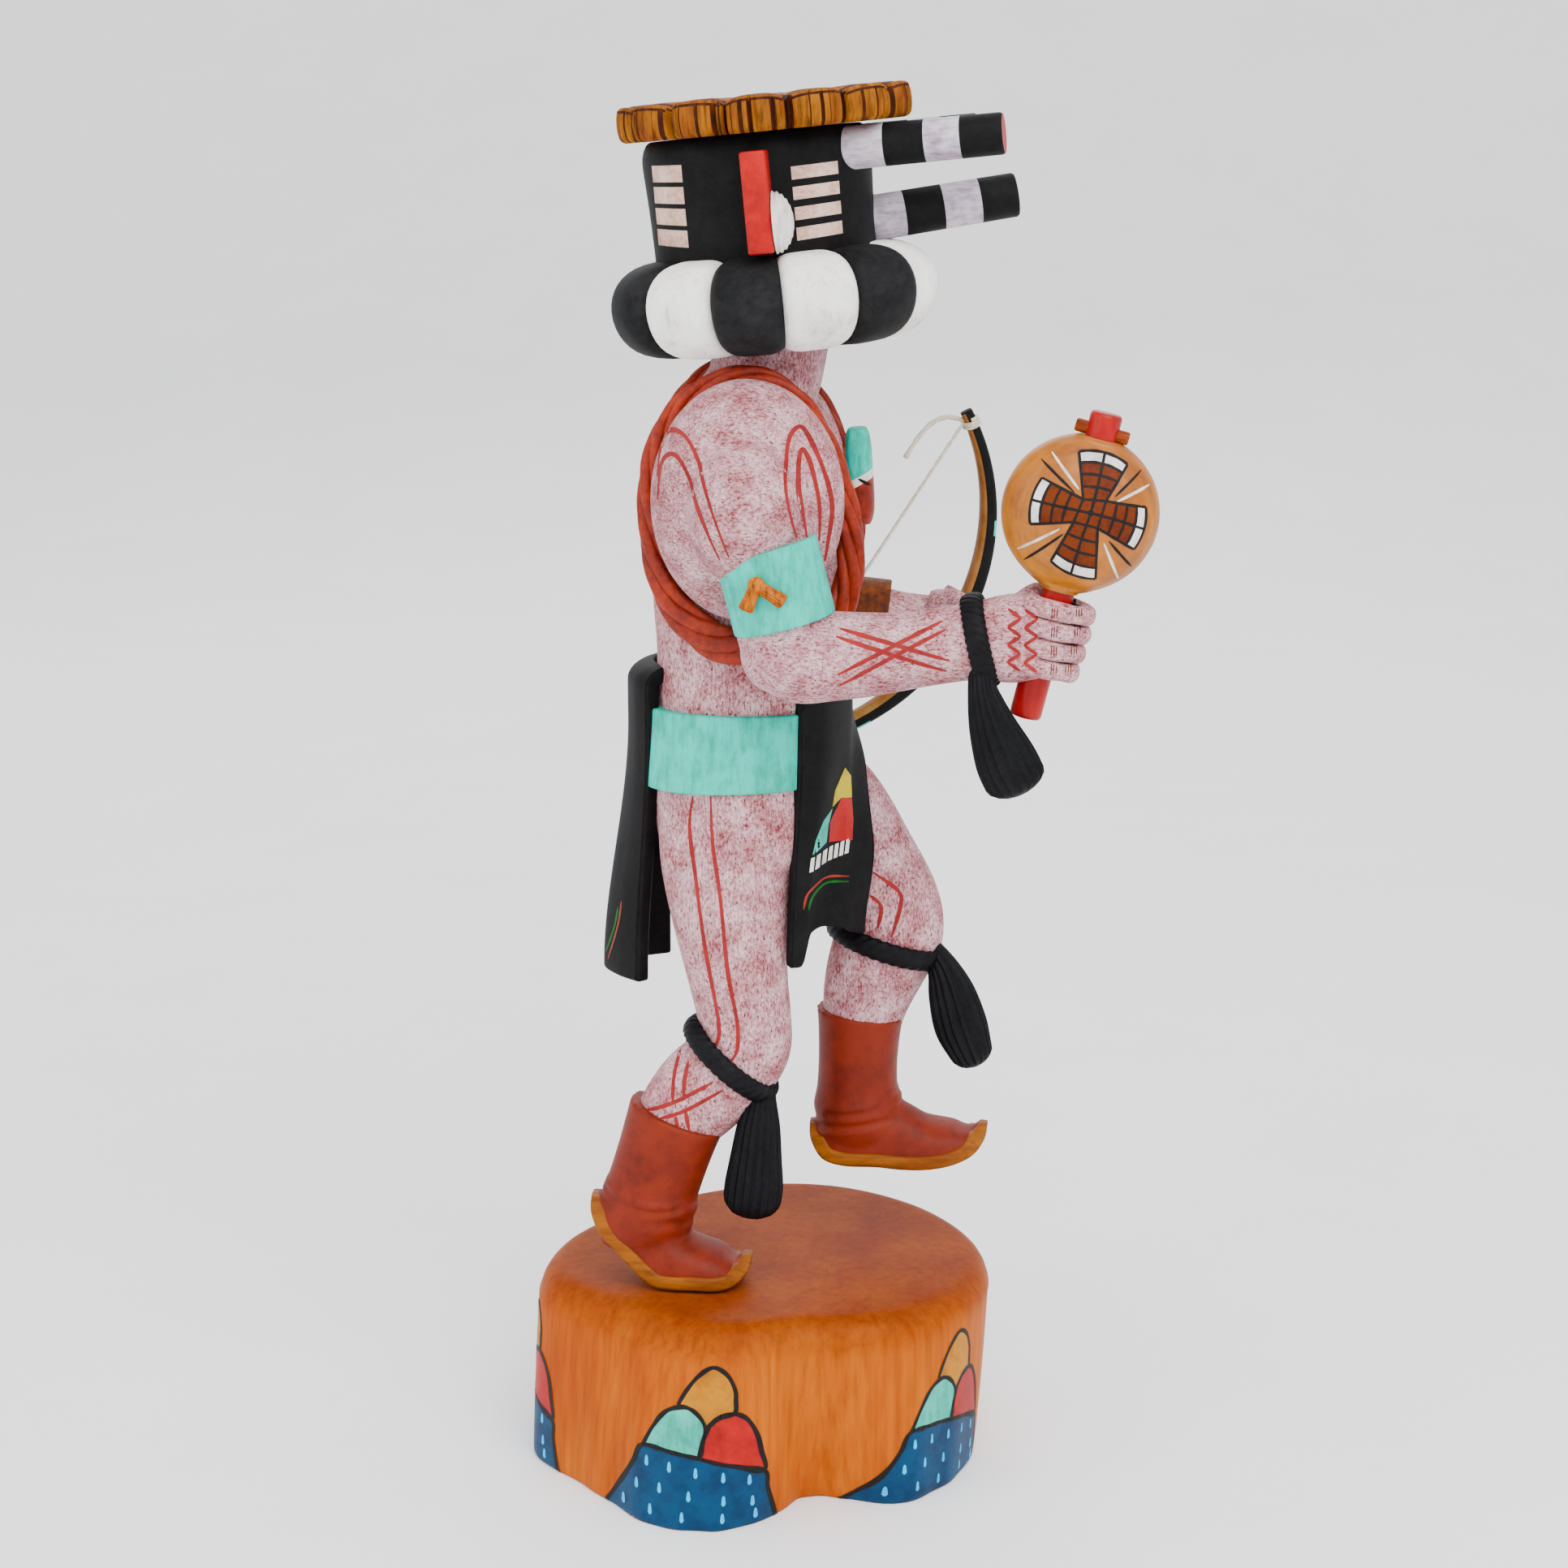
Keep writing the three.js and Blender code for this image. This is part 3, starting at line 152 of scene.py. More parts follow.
def grainWood(name, settings):
    # Stained wood with long grain along one way, and where asked a top darkened as painted shade.
    material, nodes, links, shader = newMaterial(name, settings["roughness"], settings.get("coat", 0),
        settings.get("shine", 0.14))
    grain = noiseNode(nodes, links, settings["stretch"], settings["fine"], 6, 0.65)
    broad = noiseNode(nodes, links, settings.get("broadStretch", (1, 1, 0.5)), settings.get("broad", 30), 3,
        0.5)
    wood = rampNode(nodes, links, grain.outputs["Fac"], [(place, srgb(*settings[tone]))
            for place, tone in ((0.3, "dark"), (0.5, "middle"), (0.7, "light"))])
    cloud = rampNode(nodes, links, broad.outputs["Fac"],
        [(0.32, srgb(*settings["shade"])), (0.6, (1, 1, 1, 1))])
    colour = mixNode(nodes, links, 1.0, wood.outputs["Color"], cloud.outputs["Color"], "MULTIPLY")
    # Above a height the colour is multiplied by a darker tint: painted shade on the top of the piece.
    if "capped" in settings:
        place = nodes.new("ShaderNodeTexCoord")
        axes = nodes.new("ShaderNodeSeparateXYZ")
        links.new(place.outputs["Object"], axes.inputs["Vector"])
        low, high, tint = settings["capped"]
        cap = rampNode(nodes, links, axes.outputs["Z"], [(low, (1, 1, 1, 1)), (high, srgb(*tint))])
        colour = mixNode(nodes, links, 1.0, colour, cap.outputs["Color"], "MULTIPLY")
    links.new(colour, shader.inputs["Base Color"])
    bumpNode(nodes, links, grain.outputs["Fac"], settings.get("bump", 0.25), 0.0005, shader)
    return material


skinTones = {"ground": (132, 76, 82), "top": (210, 184, 187), "shade": (234, 216, 217), "roughness": 0.75,
    "fine": 1500, "limits": (0.48, 0.75), "patchy": 0.28, "broad": 130, "bump": 0.4,
    "fleck": (104, 42, 48), "fleckScale": 1700, "fleckFrom": 0.575}
paints = {
    "skin": {**skinTones, "stretch": (1, 1, 0.5)},
    "armSkin": {**skinTones, "stretch": (0.55, 1, 1)},
    "redLine": {"ground": (116, 50, 52), "top": (146, 62, 62), "shade": (230, 220, 215),
        "roughness": 0.65, "fine": 1200, "limits": (0.5, 0.75)},
    "turquoise": {"ground": (6, 152, 138), "top": (14, 198, 184), "shade": (206, 240, 235),
        "roughness": 0.55, "fine": 500, "limits": (0.5, 0.85), "stretch": (1, 1, 0.25)},
    "boot": {"ground": (96, 40, 25), "top": (120, 50, 31), "shade": (228, 216, 212), "roughness": 0.55,
        "fine": 260, "limits": (0.45, 0.8), "shine": 0.2, "bump": 0.18, "fleck": (205, 160, 140),
        "fleckScale": 2600, "fleckFrom": 0.76},
    "black": {"ground": (8, 8, 9), "top": (26, 26, 27), "shade": (225, 225, 230), "roughness": 0.62,
        "fine": 420, "limits": (0.45, 0.9), "bump": 0.25, "shine": 0.1, "fleck": (104, 106, 104),
        "fleckScale": 2400, "fleckFrom": 0.79},
    "ruffBlack": {"ground": (14, 14, 15), "top": (40, 40, 41), "shade": (225, 228, 230), "roughness": 0.7,
        "shine": 0.12, "fine": 380, "limits": (0.45, 0.9), "bump": 0.3},
    "ruffWhite": {"ground": (216, 212, 208), "top": (250, 249, 246), "shade": (240, 237, 237),
        "roughness": 0.75, "fine": 420, "limits": (0.5, 0.72), "bump": 0.4, "stretch": (1, 1, 0.35)},
    "tubePale": {"ground": (160, 150, 158), "top": (208, 202, 208), "shade": (226, 220, 228),
        "roughness": 0.72, "fine": 600, "limits": (0.55, 0.82), "stretch": (0.3, 1, 1), "bump": 0.4},
    "cream": {"ground": (178, 150, 136), "top": (212, 192, 182), "shade": (238, 226, 222),
        "roughness": 0.7, "fine": 900, "limits": (0.55, 0.8), "stretch": (0.3, 1, 1)},
    "white": {"ground": (188, 184, 178), "top": (232, 231, 226), "shade": (232, 228, 224),
        "roughness": 0.7, "fine": 700, "limits": (0.5, 0.8), "stretch": (1, 1, 0.2)},
    "red": {"ground": (138, 4, 3), "top": (168, 6, 4), "shade": (226, 206, 206), "roughness": 0.5,
        "fine": 300, "limits": (0.45, 0.85), "shine": 0.2, "bump": 0.15},
    "handleRed": {"ground": (132, 28, 14), "top": (164, 44, 24), "shade": (220, 205, 200),
        "roughness": 0.42, "fine": 400, "limits": (0.45, 0.8), "coat": 0.15, "stretch": (1, 1, 0.15)},
    "yarn": {"ground": (96, 34, 20), "top": (146, 62, 36), "shade": (220, 205, 200), "roughness": 0.5,
        "fine": 500, "limits": (0.45, 0.85), "shine": 0.25},
    "cord": {"ground": (8, 8, 9), "top": (26, 26, 29), "shade": (220, 220, 225), "roughness": 0.5,
        "fine": 600, "limits": (0.5, 0.9), "shine": 0.1},
    "feather": {"ground": (72, 36, 18), "top": (106, 56, 30), "shade": (225, 210, 205), "roughness": 0.6,
        "fine": 700, "limits": (0.45, 0.8)},
    "outline": {"ground": (20, 18, 20), "top": (38, 34, 34), "shade": (225, 220, 220), "roughness": 0.55,
        "fine": 900, "limits": (0.45, 0.9)},
    "blue": {"ground": (18, 56, 80), "top": (26, 72, 102), "shade": (205, 215, 225), "roughness": 0.5,
        "fine": 260, "limits": (0.45, 0.8)},
    "rain": {"ground": (76, 160, 208), "top": (104, 190, 232), "shade": (235, 240, 245),
        "roughness": 0.55, "fine": 600, "limits": (0.45, 0.8)},
    "yellow": {"ground": (152, 108, 0), "top": (180, 132, 2), "shade": (226, 215, 200), "roughness": 0.5,
        "fine": 300, "limits": (0.45, 0.8)},
    "lemon": {"ground": (166, 150, 0), "top": (192, 176, 4), "shade": (226, 220, 200), "roughness": 0.5,
        "fine": 300, "limits": (0.45, 0.8)},
    "green": {"ground": (20, 74, 36), "top": (34, 104, 54), "shade": (225, 225, 220), "roughness": 0.6,
        "fine": 700, "limits": (0.45, 0.8)},
    "pale": {"ground": (80, 156, 142), "top": (112, 190, 176), "shade": (226, 230, 228), "roughness": 0.6,
        "fine": 420, "limits": (0.5, 0.8), "stretch": (1, 1, 0.3)},
}
woods = {
    "sole": {"dark": (108, 68, 28), "middle": (140, 92, 44), "light": (158, 108, 56),
        "shade": (215, 200, 185), "roughness": 0.5, "stretch": (0.12, 1, 1), "fine": 500},
    "bark": {"dark": (58, 36, 16), "middle": (140, 96, 46), "light": (166, 118, 62),
        "shade": (210, 184, 160), "roughness": 0.7, "stretch": (1, 1, 0.16), "fine": 420, "broad": 120,
        "bump": 0.6},
    # dark bark: painted lines of the crown, and painted shade in its cracks
    "barkLinesAndCrackShade": {"dark": (36, 20, 10), "middle": (66, 36, 16), "light": (96, 54, 26),
        "shade": (220, 200, 190), "roughness": 0.7, "stretch": (1, 1, 0.3), "fine": 500},
    # the base's top is darker as painted shade from the frontal light
    "base": {"dark": (158, 92, 22), "middle": (176, 107, 29), "light": (187, 118, 38),
        "shade": (224, 202, 164), "shine": 0.05, "capped": (0.046, 0.058, (188, 174, 84)),
        "roughness": 0.5, "stretch": (1, 1, 0.06), "fine": 420, "broad": 45, "broadStretch": (1, 1, 0.35),
        "bump": 0.12},
    "gourd": {"dark": (136, 88, 4), "middle": (172, 120, 8), "light": (192, 140, 20),
        "shade": (214, 198, 120), "roughness": 0.4, "stretch": (0.25, 1, 0.25), "fine": 320, "broad": 45,
        "shine": 0.35},
    "knot": {"dark": (70, 38, 16), "middle": (176, 112, 46), "light": (206, 146, 76),
        "shade": (220, 200, 180), "roughness": 0.5, "stretch": (1, 1, 0.3), "fine": 700, "bump": 0.5},
    "brown": {"dark": (84, 40, 24), "middle": (138, 76, 44), "light": (168, 102, 62),
        "shade": (215, 195, 185), "roughness": 0.5, "stretch": (0.3, 1, 1), "fine": 600},
    "cuff": {"dark": (66, 36, 22), "middle": (100, 58, 36), "light": (126, 76, 50),
        "shade": (215, 195, 185), "roughness": 0.6, "stretch": (1, 1, 0.4), "fine": 500},
    "tan": {"dark": (126, 96, 64), "middle": (150, 116, 80), "light": (166, 132, 96),
        "shade": (225, 210, 200), "roughness": 0.5, "stretch": (0.3, 1, 0.2), "fine": 600},
    "twine": {"dark": (196, 190, 176), "middle": (226, 222, 210), "light": (240, 238, 230),
        "shade": (230, 225, 215), "roughness": 0.8, "stretch": (1, 1, 1), "fine": 1500},
}
finishes = {name: brushedPaint(name, settings) for name, settings in paints.items()}
finishes.update({name: grainWood(name, settings) for name, settings in woods.items()})

floorFinish, floorNodes, floorLinks, floorShader = newMaterial("floorPaper", 0.9)
paper = noiseNode(floorNodes, floorLinks, (1, 1, 1), 12, 4)
paperTone = rampNode(floorNodes, floorLinks, paper.outputs["Fac"],
    [(0.3, (0.92, 0.92, 0.925, 1)), (0.7, (0.95, 0.95, 0.952, 1))])
floorLinks.new(paperTone.outputs["Color"], floorShader.inputs["Base Color"])
cove = {"half": 7.0, "near": -4.0, "bend": 1.4, "radius": 1.6, "high": 6.0}
bends = [math.radians(90 * i / 24) for i in range(25)]
profile = [(cove["near"], 0)] + [
    (cove["bend"] + cove["radius"] * math.sin(turn), cove["radius"] * (1 - math.cos(turn)))
    for turn in bends]
profile.append((cove["bend"] + cove["radius"], cove["high"]))
floorBuild = bmesh.new()
rim = [floorBuild.verts.new((-cove["half"], y, z)) for y, z in profile]
run = [floorBuild.edges.new(pair) for pair in zip(rim, rim[1:])]
swept = bmesh.ops.extrude_edge_only(floorBuild, edges=run)["geom"]
bmesh.ops.translate(floorBuild, vec=(2 * cove["half"], 0, 0),
    verts=[part for part in swept if isinstance(part, bmesh.types.BMVert)])
for face in floorBuild.faces:
    face.smooth = True
floorMesh = bpy.data.meshes.new("floor")
floorBuild.to_mesh(floorMesh)
floorBuild.free()
floor = bpy.data.objects.new("floor", floorMesh)
floor.data.materials.append(floorFinish)
scene.collection.objects.link(floor)
world = bpy.data.worlds.new("studio")
world.use_nodes = True
world.node_tree.nodes["Background"].inputs["Color"].default_value = (0.93, 0.94, 0.96, 1)
world.node_tree.nodes["Background"].inputs["Strength"].default_value = 1.5
scene.world = world
lamps = [
    {"name": "key", "place": (0.55, -1.0, 1.35), "size": 1.2, "power": 30},
    {"name": "fill", "place": (-1.2, -0.9, 0.8), "size": 1.4, "power": 10},
    {"name": "back", "place": (-0.2, 1.3, 1.2), "size": 1.4, "power": 10},
]
for lamp in lamps:
    light = bpy.data.objects.new(lamp["name"], bpy.data.lights.new(lamp["name"], "AREA"))
    light.data.size = lamp["size"]
    light.data.energy = lamp["power"]
    light.location = lamp["place"]
    light.rotation_euler = (Vector((0.02, 0, 0.2)) - light.location).to_track_quat("-Z", "Y").to_euler()
    scene.collection.objects.link(light)


# Mesh helpers
def onFigure(x, y, z):
    return Vector((x, y, z + footing)) * mm


def smoothRows(rows, steps):
    # Numbers carried smoothly through rows of stations.
    out = []
    for i in range(len(rows) - 1):
        around = rows[max(i - 1, 0)], rows[i], rows[i + 1], rows[min(i + 2, len(rows) - 1)]
        for k in range(steps):
            t = k / steps
            out.append([0.5 * (2 * q + (r - p) * t + (2 * p - 5 * q + 4 * r - s) * t * t
                        + (3 * q - p - 3 * r + s) * t ** 3)
                    for p, q, r, s in zip(*around)])
    out.append(list(rows[-1]))
    return out


def smoothLoop(rows, steps):
    # The same round a closed loop.
    count = len(rows)
    padded = [rows[-1]] + list(rows) + [rows[0], rows[1]]
    return smoothRows(padded, steps)[steps:steps + count * steps]


def framesAlong(spine, side):
    # For each point of a spine: the point, its way, and the two ways across it.
    frames = []
    for i, point in enumerate(spine):
        way = (spine[min(i + 1, len(spine) - 1)] - spine[max(i - 1, 0)]).normalized()
        across = (side - way * side.dot(way)).normalized()
        frames.append((point, way, across, way.cross(across)))
    return frames


def framesRound(path, outWay):
    # Point, way and way outwards round a closed path.
    frames = []
    for i, point in enumerate(path):
        way = (path[(i + 1) % len(path)] - path[i - 1]).normalized()
        out = outWay(point)
        frames.append((point, way, (out - way * out.dot(way)).normalized()))
    return frames


def straightFrames(start, ways, places):
    return [(start + ways[0] * place * mm, *ways) for place in places]


def pull(value, squareness):
    return math.copysign(abs(value) ** (2 / squareness), value)


def ovalShape(turn, size):
    wide, deep, square = size
    return pull(math.cos(turn), square) * wide, pull(math.sin(turn), square) * deep, 0.0


def sweep(build, frames, sizes, sides, shape=ovalShape, closed=False, material=0):
    # Extrudes a ring from station to station, and closes its ends.
    unit = build.verts.layers.float.get("turn") or build.verts.layers.float.new("turn")
    ring = bmesh.ops.create_circle(build, segments=sides, radius=1.0)["verts"]
    for vert in ring:
        vert[unit] = math.atan2(vert.co.y, vert.co.x)
    edges = list(dict.fromkeys(edge for vert in ring for edge in vert.link_edges))
    first = edges
    for i, ((point, way, across, front), size) in enumerate(zip(frames, sizes)):
        if i:
            made = bmesh.ops.extrude_edge_only(build, edges=edges)["geom"]
            ring = [part for part in made if isinstance(part, bmesh.types.BMVert)]
            fresh = set(ring)
            edges = [part for part in made if isinstance(part, bmesh.types.BMEdge)
                and set(part.verts) <= fresh]
            for part in made:
                if isinstance(part, bmesh.types.BMFace):
                    part.material_index = material
        for vert in ring:
            a, b, c = shape(vert[unit], size)
            vert.co = point + across * a + front * b + way * c
    if closed:
        bmesh.ops.bridge_loops(build, edges=first + edges)
    else:
        for loop in (first, edges):
            cap = bmesh.ops.contextual_create(build, geom=loop)["faces"]
            for face in cap:
                face.material_index = material


def roundEnd(frames, sizes, sign, degrees, fade=False):
    # Closes the first or last end in a dome; the third size may fade out with it.
    end = 0 if sign < 0 else -1
    point, way, across, front = frames[end]
    wide, deep, last = sizes[end]
    turns = [math.radians(value) for value in degrees]
    more = [(point + way * sign * min(wide, deep) * math.sin(turn), way, across, front) for turn in turns]
    sized = [(wide * math.cos(turn), deep * math.cos(turn), last * math.cos(turn) if fade else last)
        for turn in turns]
    return (more[::-1] + frames, sized[::-1] + sizes) if sign < 0 else (frames + more, sizes + sized)


def limb(build, stations, sides=36, steps=5, side=(0, 1, 0), ends=(True, True)):
    # A limb through rows of place, half width, half depth and squareness, with round or flat ends.
    rows = smoothRows([list(row[:5]) + [row[5] if len(row) > 5 else 2.0] for row in stations], steps)
    frames = framesAlong([onFigure(*row[:3]) for row in rows], Vector(side))
    sizes = [(row[3] * mm, row[4] * mm, row[5]) for row in rows]
    for rounding, sign in zip(ends, (-1, 1)):
        if rounding:
            frames, sizes = roundEnd(frames, sizes, sign, (18, 36, 54, 70, 82))
    sweep(build, frames, sizes, sides)


def cleaned(build):
    bmesh.ops.remove_doubles(build, verts=build.verts, dist=1e-6)
    bmesh.ops.recalc_face_normals(build, faces=build.faces)


def finishPiece(name, build, finish, nodes=(), clean=True):
    # Makes the object, which rides on the root and stands for its CAD nodes.
    if clean:
        cleaned(build)
    mesh = bpy.data.meshes.new(name)
    build.to_mesh(mesh)
    build.free()
    piece = bpy.data.objects.new(name, mesh)
    scene.collection.objects.link(piece)
    for one in ([finish] if isinstance(finish, str) else finish):
        mesh.materials.append(finishes[one])
    for polygon in mesh.polygons:
        polygon.use_smooth = True
    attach(piece, "root")
    if nodes:
        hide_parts(*nodes)
    return piece


def baked(piece):
    # Applies the piece's modifiers to its mesh.
    bpy.context.view_layer.update()
    shown = piece.evaluated_get(bpy.context.evaluated_depsgraph_get())
    mesh = bpy.data.meshes.new_from_object(shown)
    piece.modifiers.clear()
    piece.data = mesh
    return piece


def fused(piece, voxel, rounds):
    # Melts the piece's overlapping bodies into one skin and settles it.
    melt = piece.modifiers.new("melt", "REMESH")
    melt.mode = "VOXEL"
    melt.voxel_size = voxel * mm
    melt.use_smooth_shade = True
    settle = piece.modifiers.new("settle", "SMOOTH")
    settle.factor = 0.5
    settle.iterations = rounds
    return baked(piece)


# Paint that lies on a surface: shapes drawn flat, from one side of the doll, and laid on the piece
def treeOf(*pieces):
    build = bmesh.new()
    for piece in pieces:
        build.from_mesh(piece.data)
    tree = BVHTree.FromBMesh(build)
    build.free()
    return tree


def laid(build, tree, heading, lift):
    # Moves flat vertices at (across, up) in millimetres along the heading onto the surface.
    turn = math.radians(heading)
    way = Vector((-math.sin(turn), math.cos(turn), 0))
    across = Vector((math.cos(turn), math.sin(turn), 0))
    for vert in build.verts:
        place = across * vert.co.x * mm + Vector((0, 0, vert.co.y * mm))
        spot, normal, _, _ = tree.ray_cast(place - way * 0.5, way)
        if spot is None:
            spot, normal, _, _ = tree.find_nearest(place - way * vert.co.z * mm)
        if normal.dot(way) > 0:
            normal = -normal
        vert.co = spot + normal * lift * mm


def flatShape(build, points, grid):
    # A filled outline cut into a grid, so that it can follow a curved surface.
    verts = [build.verts.new((x, y, 0)) for x, y in points]
    edges = [build.edges.new((verts[i - 1], verts[i])) for i in range(len(verts))]
    faces = [part for part in bmesh.ops.triangle_fill(build, use_beauty=True, edges=edges)["geom"]
        if isinstance(part, bmesh.types.BMFace)]
    pieces = faces
    for axis in (0, 1):
        values = [point[axis] for point in points]
        place = math.floor(min(values) / grid) * grid + grid
        while place < max(values):
            corner = [0.0, 0.0, 0.0]
            corner[axis] = place
            normal = [0.0, 0.0, 0.0]
            normal[axis] = 1.0
            around = dict.fromkeys(part for face in pieces for part in (*face.edges, *face.verts))
            made = bmesh.ops.bisect_plane(build, geom=pieces + list(around), plane_co=corner,
                plane_no=normal)["geom"]
            pieces = [part for part in made if isinstance(part, bmesh.types.BMFace)]
            place += grid


def strokeOutline(points, width, taper=0.35):
    # The outline of a brush stroke along a smooth line.
    rows = smoothRows(points, 6) if len(points) > 2 else [
        [points[0][k] + (points[-1][k] - points[0][k]) * i / 6 for k in (0, 1)] for i in range(7)]
    left, right = [], []
    for i, (x, y) in enumerate(rows):
        ahead, behind = rows[min(i + 1, len(rows) - 1)], rows[max(i - 1, 0)]
        run = math.hypot(ahead[0] - behind[0], ahead[1] - behind[1]) or 1.0
        nx, ny = -(ahead[1] - behind[1]) / run, (ahead[0] - behind[0]) / run
        share = i / (len(rows) - 1)
        half = width / 2 * (taper + (1 - taper) * min(1.0, 5 * min(share, 1 - share))) * (1
            + 0.12 * math.sin(7.0 * share + x))
        left.append((x + nx * half, y + ny * half))
        right.append((x - nx * half, y - ny * half))
    return left + right[::-1]


def paintOn(name, tree, finish, shapes, heading=0, lift=0.07, grid=1.2):
    # One object of painted shapes in one colour.
    build = bmesh.new()
    for points in shapes:
        flatShape(build, points, grid)
    laid(build, tree, heading, lift)
    bmesh.ops.recalc_face_normals(build, faces=build.faces)
    return finishPiece(name, build, finish, clean=False)


def mirroredShapes(shapes):
    return [[(-x, y) for x, y in points] for points in shapes]


print("base")
baseSettings = {
    "width": 138, "depth": 146, "height": 58, "rounding": 8.5,
    "outline": [  # shares of half the width and depth, round the foot and round the edge of the top
        (0.93, 0, 0.985, 0), (0.86, 0.36, 0.92, 0.36), (0.66, 0.7, 0.7, 0.7), (0.36, 0.9, 0.36, 0.93),
        (0, 0.96, 0, 0.975), (-0.36, 0.84, -0.35, 0.84), (-0.68, 0.6, -0.67, 0.6), (-0.9, 0.28, -0.9, 0.28),
        (-1, -0.04, -0.975, -0.04), (-0.975, -0.32, -0.93, -0.29), (-0.81, -0.5, -0.78, -0.46),
        (-0.62, -0.7, -0.57, -0.62), (-0.42, -0.905, -0.37, -0.76), (-0.23, -0.96, -0.2, -0.83),
        (-0.06, -0.934, -0.04, -0.84), (0.112, -0.79, 0.1, -0.8), (0.2, -0.64, 0.2, -0.76),
        (0.3, -0.605, 0.3, -0.74), (0.442, -0.63, 0.44, -0.725), (0.632, -0.648, 0.65, -0.65),
        (0.79, -0.5, 0.83, -0.47), (0.89, -0.3, 0.94, -0.26)],
}
baseLoop = smoothLoop(baseSettings["outline"], 10)


def baseRing(turn, size):
    lift, inset = size
    place = (turn / (2 * math.pi)) % 1.0 * len(baseLoop)
    low, high = baseLoop[int(place) % len(baseLoop)], baseLoop[(int(place) + 1) % len(baseLoop)]
    x, y, topX, topY = [a + (b - a) * (place - int(place)) for a, b in zip(low, high)]
    u, v = x + (topX - x) * lift, y + (topY - y) * lift
    reach = math.hypot(u * baseSettings["width"], v * baseSettings["depth"]) / 2
    share = max(reach - inset, 0.01) / reach
    flute = 1 + 0.004 * math.sin(turn * 23) * (1 - lift)
    return (u * share * flute * baseSettings["width"] / 2 * mm,
        v * share * flute * baseSettings["depth"] / 2 * mm, 0.0)


heights, baseSizes = [], []
top, rounding = baseSettings["height"], baseSettings["rounding"]
for z, lift, inset in [(0, 0, 1.2), (0.35, 0, 0.5), (1.2, 0.02, 0.1)] + [
        (h, h / top * 0.98, -0.35 * math.sin(math.pi * h / top))
        for h in (4, 8, 12, 17, 22, 27, 32, 37, 41, 45, top - rounding)] + [
        (top - rounding * (1 - math.sin(math.radians(turn))), 1,
            rounding * (1 - math.cos(math.radians(turn)))) for turn in (12, 25, 38, 50, 62, 74, 85)] + [
        (top, 1, rounding + extra) for extra in (1, 5, 12, 22, 34, 48)]:
    heights.append(z)
    baseSizes.append((lift, inset))
build = bmesh.new()
sweep(build, [(Vector((0, 0, z)) * mm, Vector((0, 0, 1)), Vector((1, 0, 0)), sideways) for z in heights],
    baseSizes, 220, shape=baseRing)
base = finishPiece("base_block", build, "base", ["base"])

print("figure")
figureSettings = {
    "torso": [
        [3, 0, 283, 17, 17], [1, 0, 268, 17, 16.2], [-0.4, 0, 262, 19.5, 16.2],
        [-2.4, 0, 256, 25, 18.4, 2.2], [-3.2, 0, 247, 30, 23.6, 2.3], [-3.5, 0, 232, 31, 28.4, 2.3],
        [-3.5, 0, 208, 29.5, 28.8, 2.3], [-3.5, 0, 186, 28, 27.6, 2.3], [-5, 0, 170, 27.5, 26.6, 2.3],
        [-6.5, 0, 150, 28.2, 26, 2.3], [-6, 0, 137, 28.6, 26, 2.3], [-4, 0, 126, 27, 23.5, 2.2],
        [-3, 0, 119, 20, 16]],
    "rightLeg": [
        [-9.5, -13.5, 143, 14, 20.3], [-9.7, -14.5, 127, 14.5, 19.6], [-8.6, -16, 110, 13.8, 17.2],
        [-6.5, -17, 93, 13, 14.8], [-4.6, -17.6, 80.5, 12.5, 13.8], [-4.6, -18, 71, 12.4, 13.8],
        [-10.6, -18.4, 63.4, 12.4, 14], [-17.2, -19, 57, 12.4, 14.2], [-23.2, -19.6, 49.8, 12, 13],
        [-27, -20, 42, 11.5, 12]],
    "leftLeg": [
        [3, 13, 148, 13, 19], [17.5, 15, 135.5, 14.2, 17.6], [28.6, 16.3, 119, 14.2, 16.2],
        [35.6, 17, 106.6, 13.8, 15.6], [36.6, 17, 97.6, 13.3, 16], [33.4, 17, 89.4, 12.8, 15.3],
        [30.2, 17, 80, 12.3, 13.9], [28.4, 17, 71, 11.8, 12.3], [27.6, 17, 62, 11, 11.4]],
    "belt": {"top": 171.4, "high": 22.4, "proud": 1.6, "back": 0.9, "more": 1, "slant": 0.085},
}
build = bmesh.new()
limb(build, figureSettings["torso"], sides=56, steps=5, ends=(False, True))
limb(build, figureSettings["rightLeg"], sides=44, steps=5)
limb(build, figureSettings["leftLeg"], sides=44, steps=5)
body = fused(finishPiece("figure_skin", build, "skin", ["figure"]), 1.1, 10)


def torsoRow(z):
    rows = figureSettings["torso"]
    for upper, lower in zip(rows, rows[1:]):
        if lower[2] <= z:
            share = (upper[2] - z) / (upper[2] - lower[2])
            return [a + (b - a) * share for a, b in zip(upper[:5] + [(upper[5:] or [2.0])[0]],
                    lower[:5] + [(lower[5:] or [2.0])[0]])]


def bandOf(build, rows, proud, sides=72, edge=0.7):
    # A flat band with rounded edges round a limb.
    frames = framesAlong([onFigure(*row[:3]) for row in rows], sideways)
    placed, sizes = [], []
    for end, sign in ((0, -1), (len(rows) - 1, 1)):
        point, way, across, front = frames[end]
        steps = [(sign * 0.0, -proud - 1.2), (sign * 0.0, -edge * 0.6), (sign * -0.25 * edge, -edge * 0.2),
            (sign * -edge, 0.0)]
        for shift, inset in (steps if sign < 0 else steps[::-1]):
            placed.append((point + way * shift * mm, way, across, front))
            row = rows[end]
            sizes.append(((row[3] + proud + inset) * mm, (row[4] + proud + inset) * mm, row[5]))
        if sign < 0:
            for row, one in list(zip(rows, frames))[1:-1]:
                placed.append(one)
                sizes.append(((row[3] + proud) * mm, (row[4] + proud) * mm, row[5]))
    sweep(build, placed, sizes, sides)


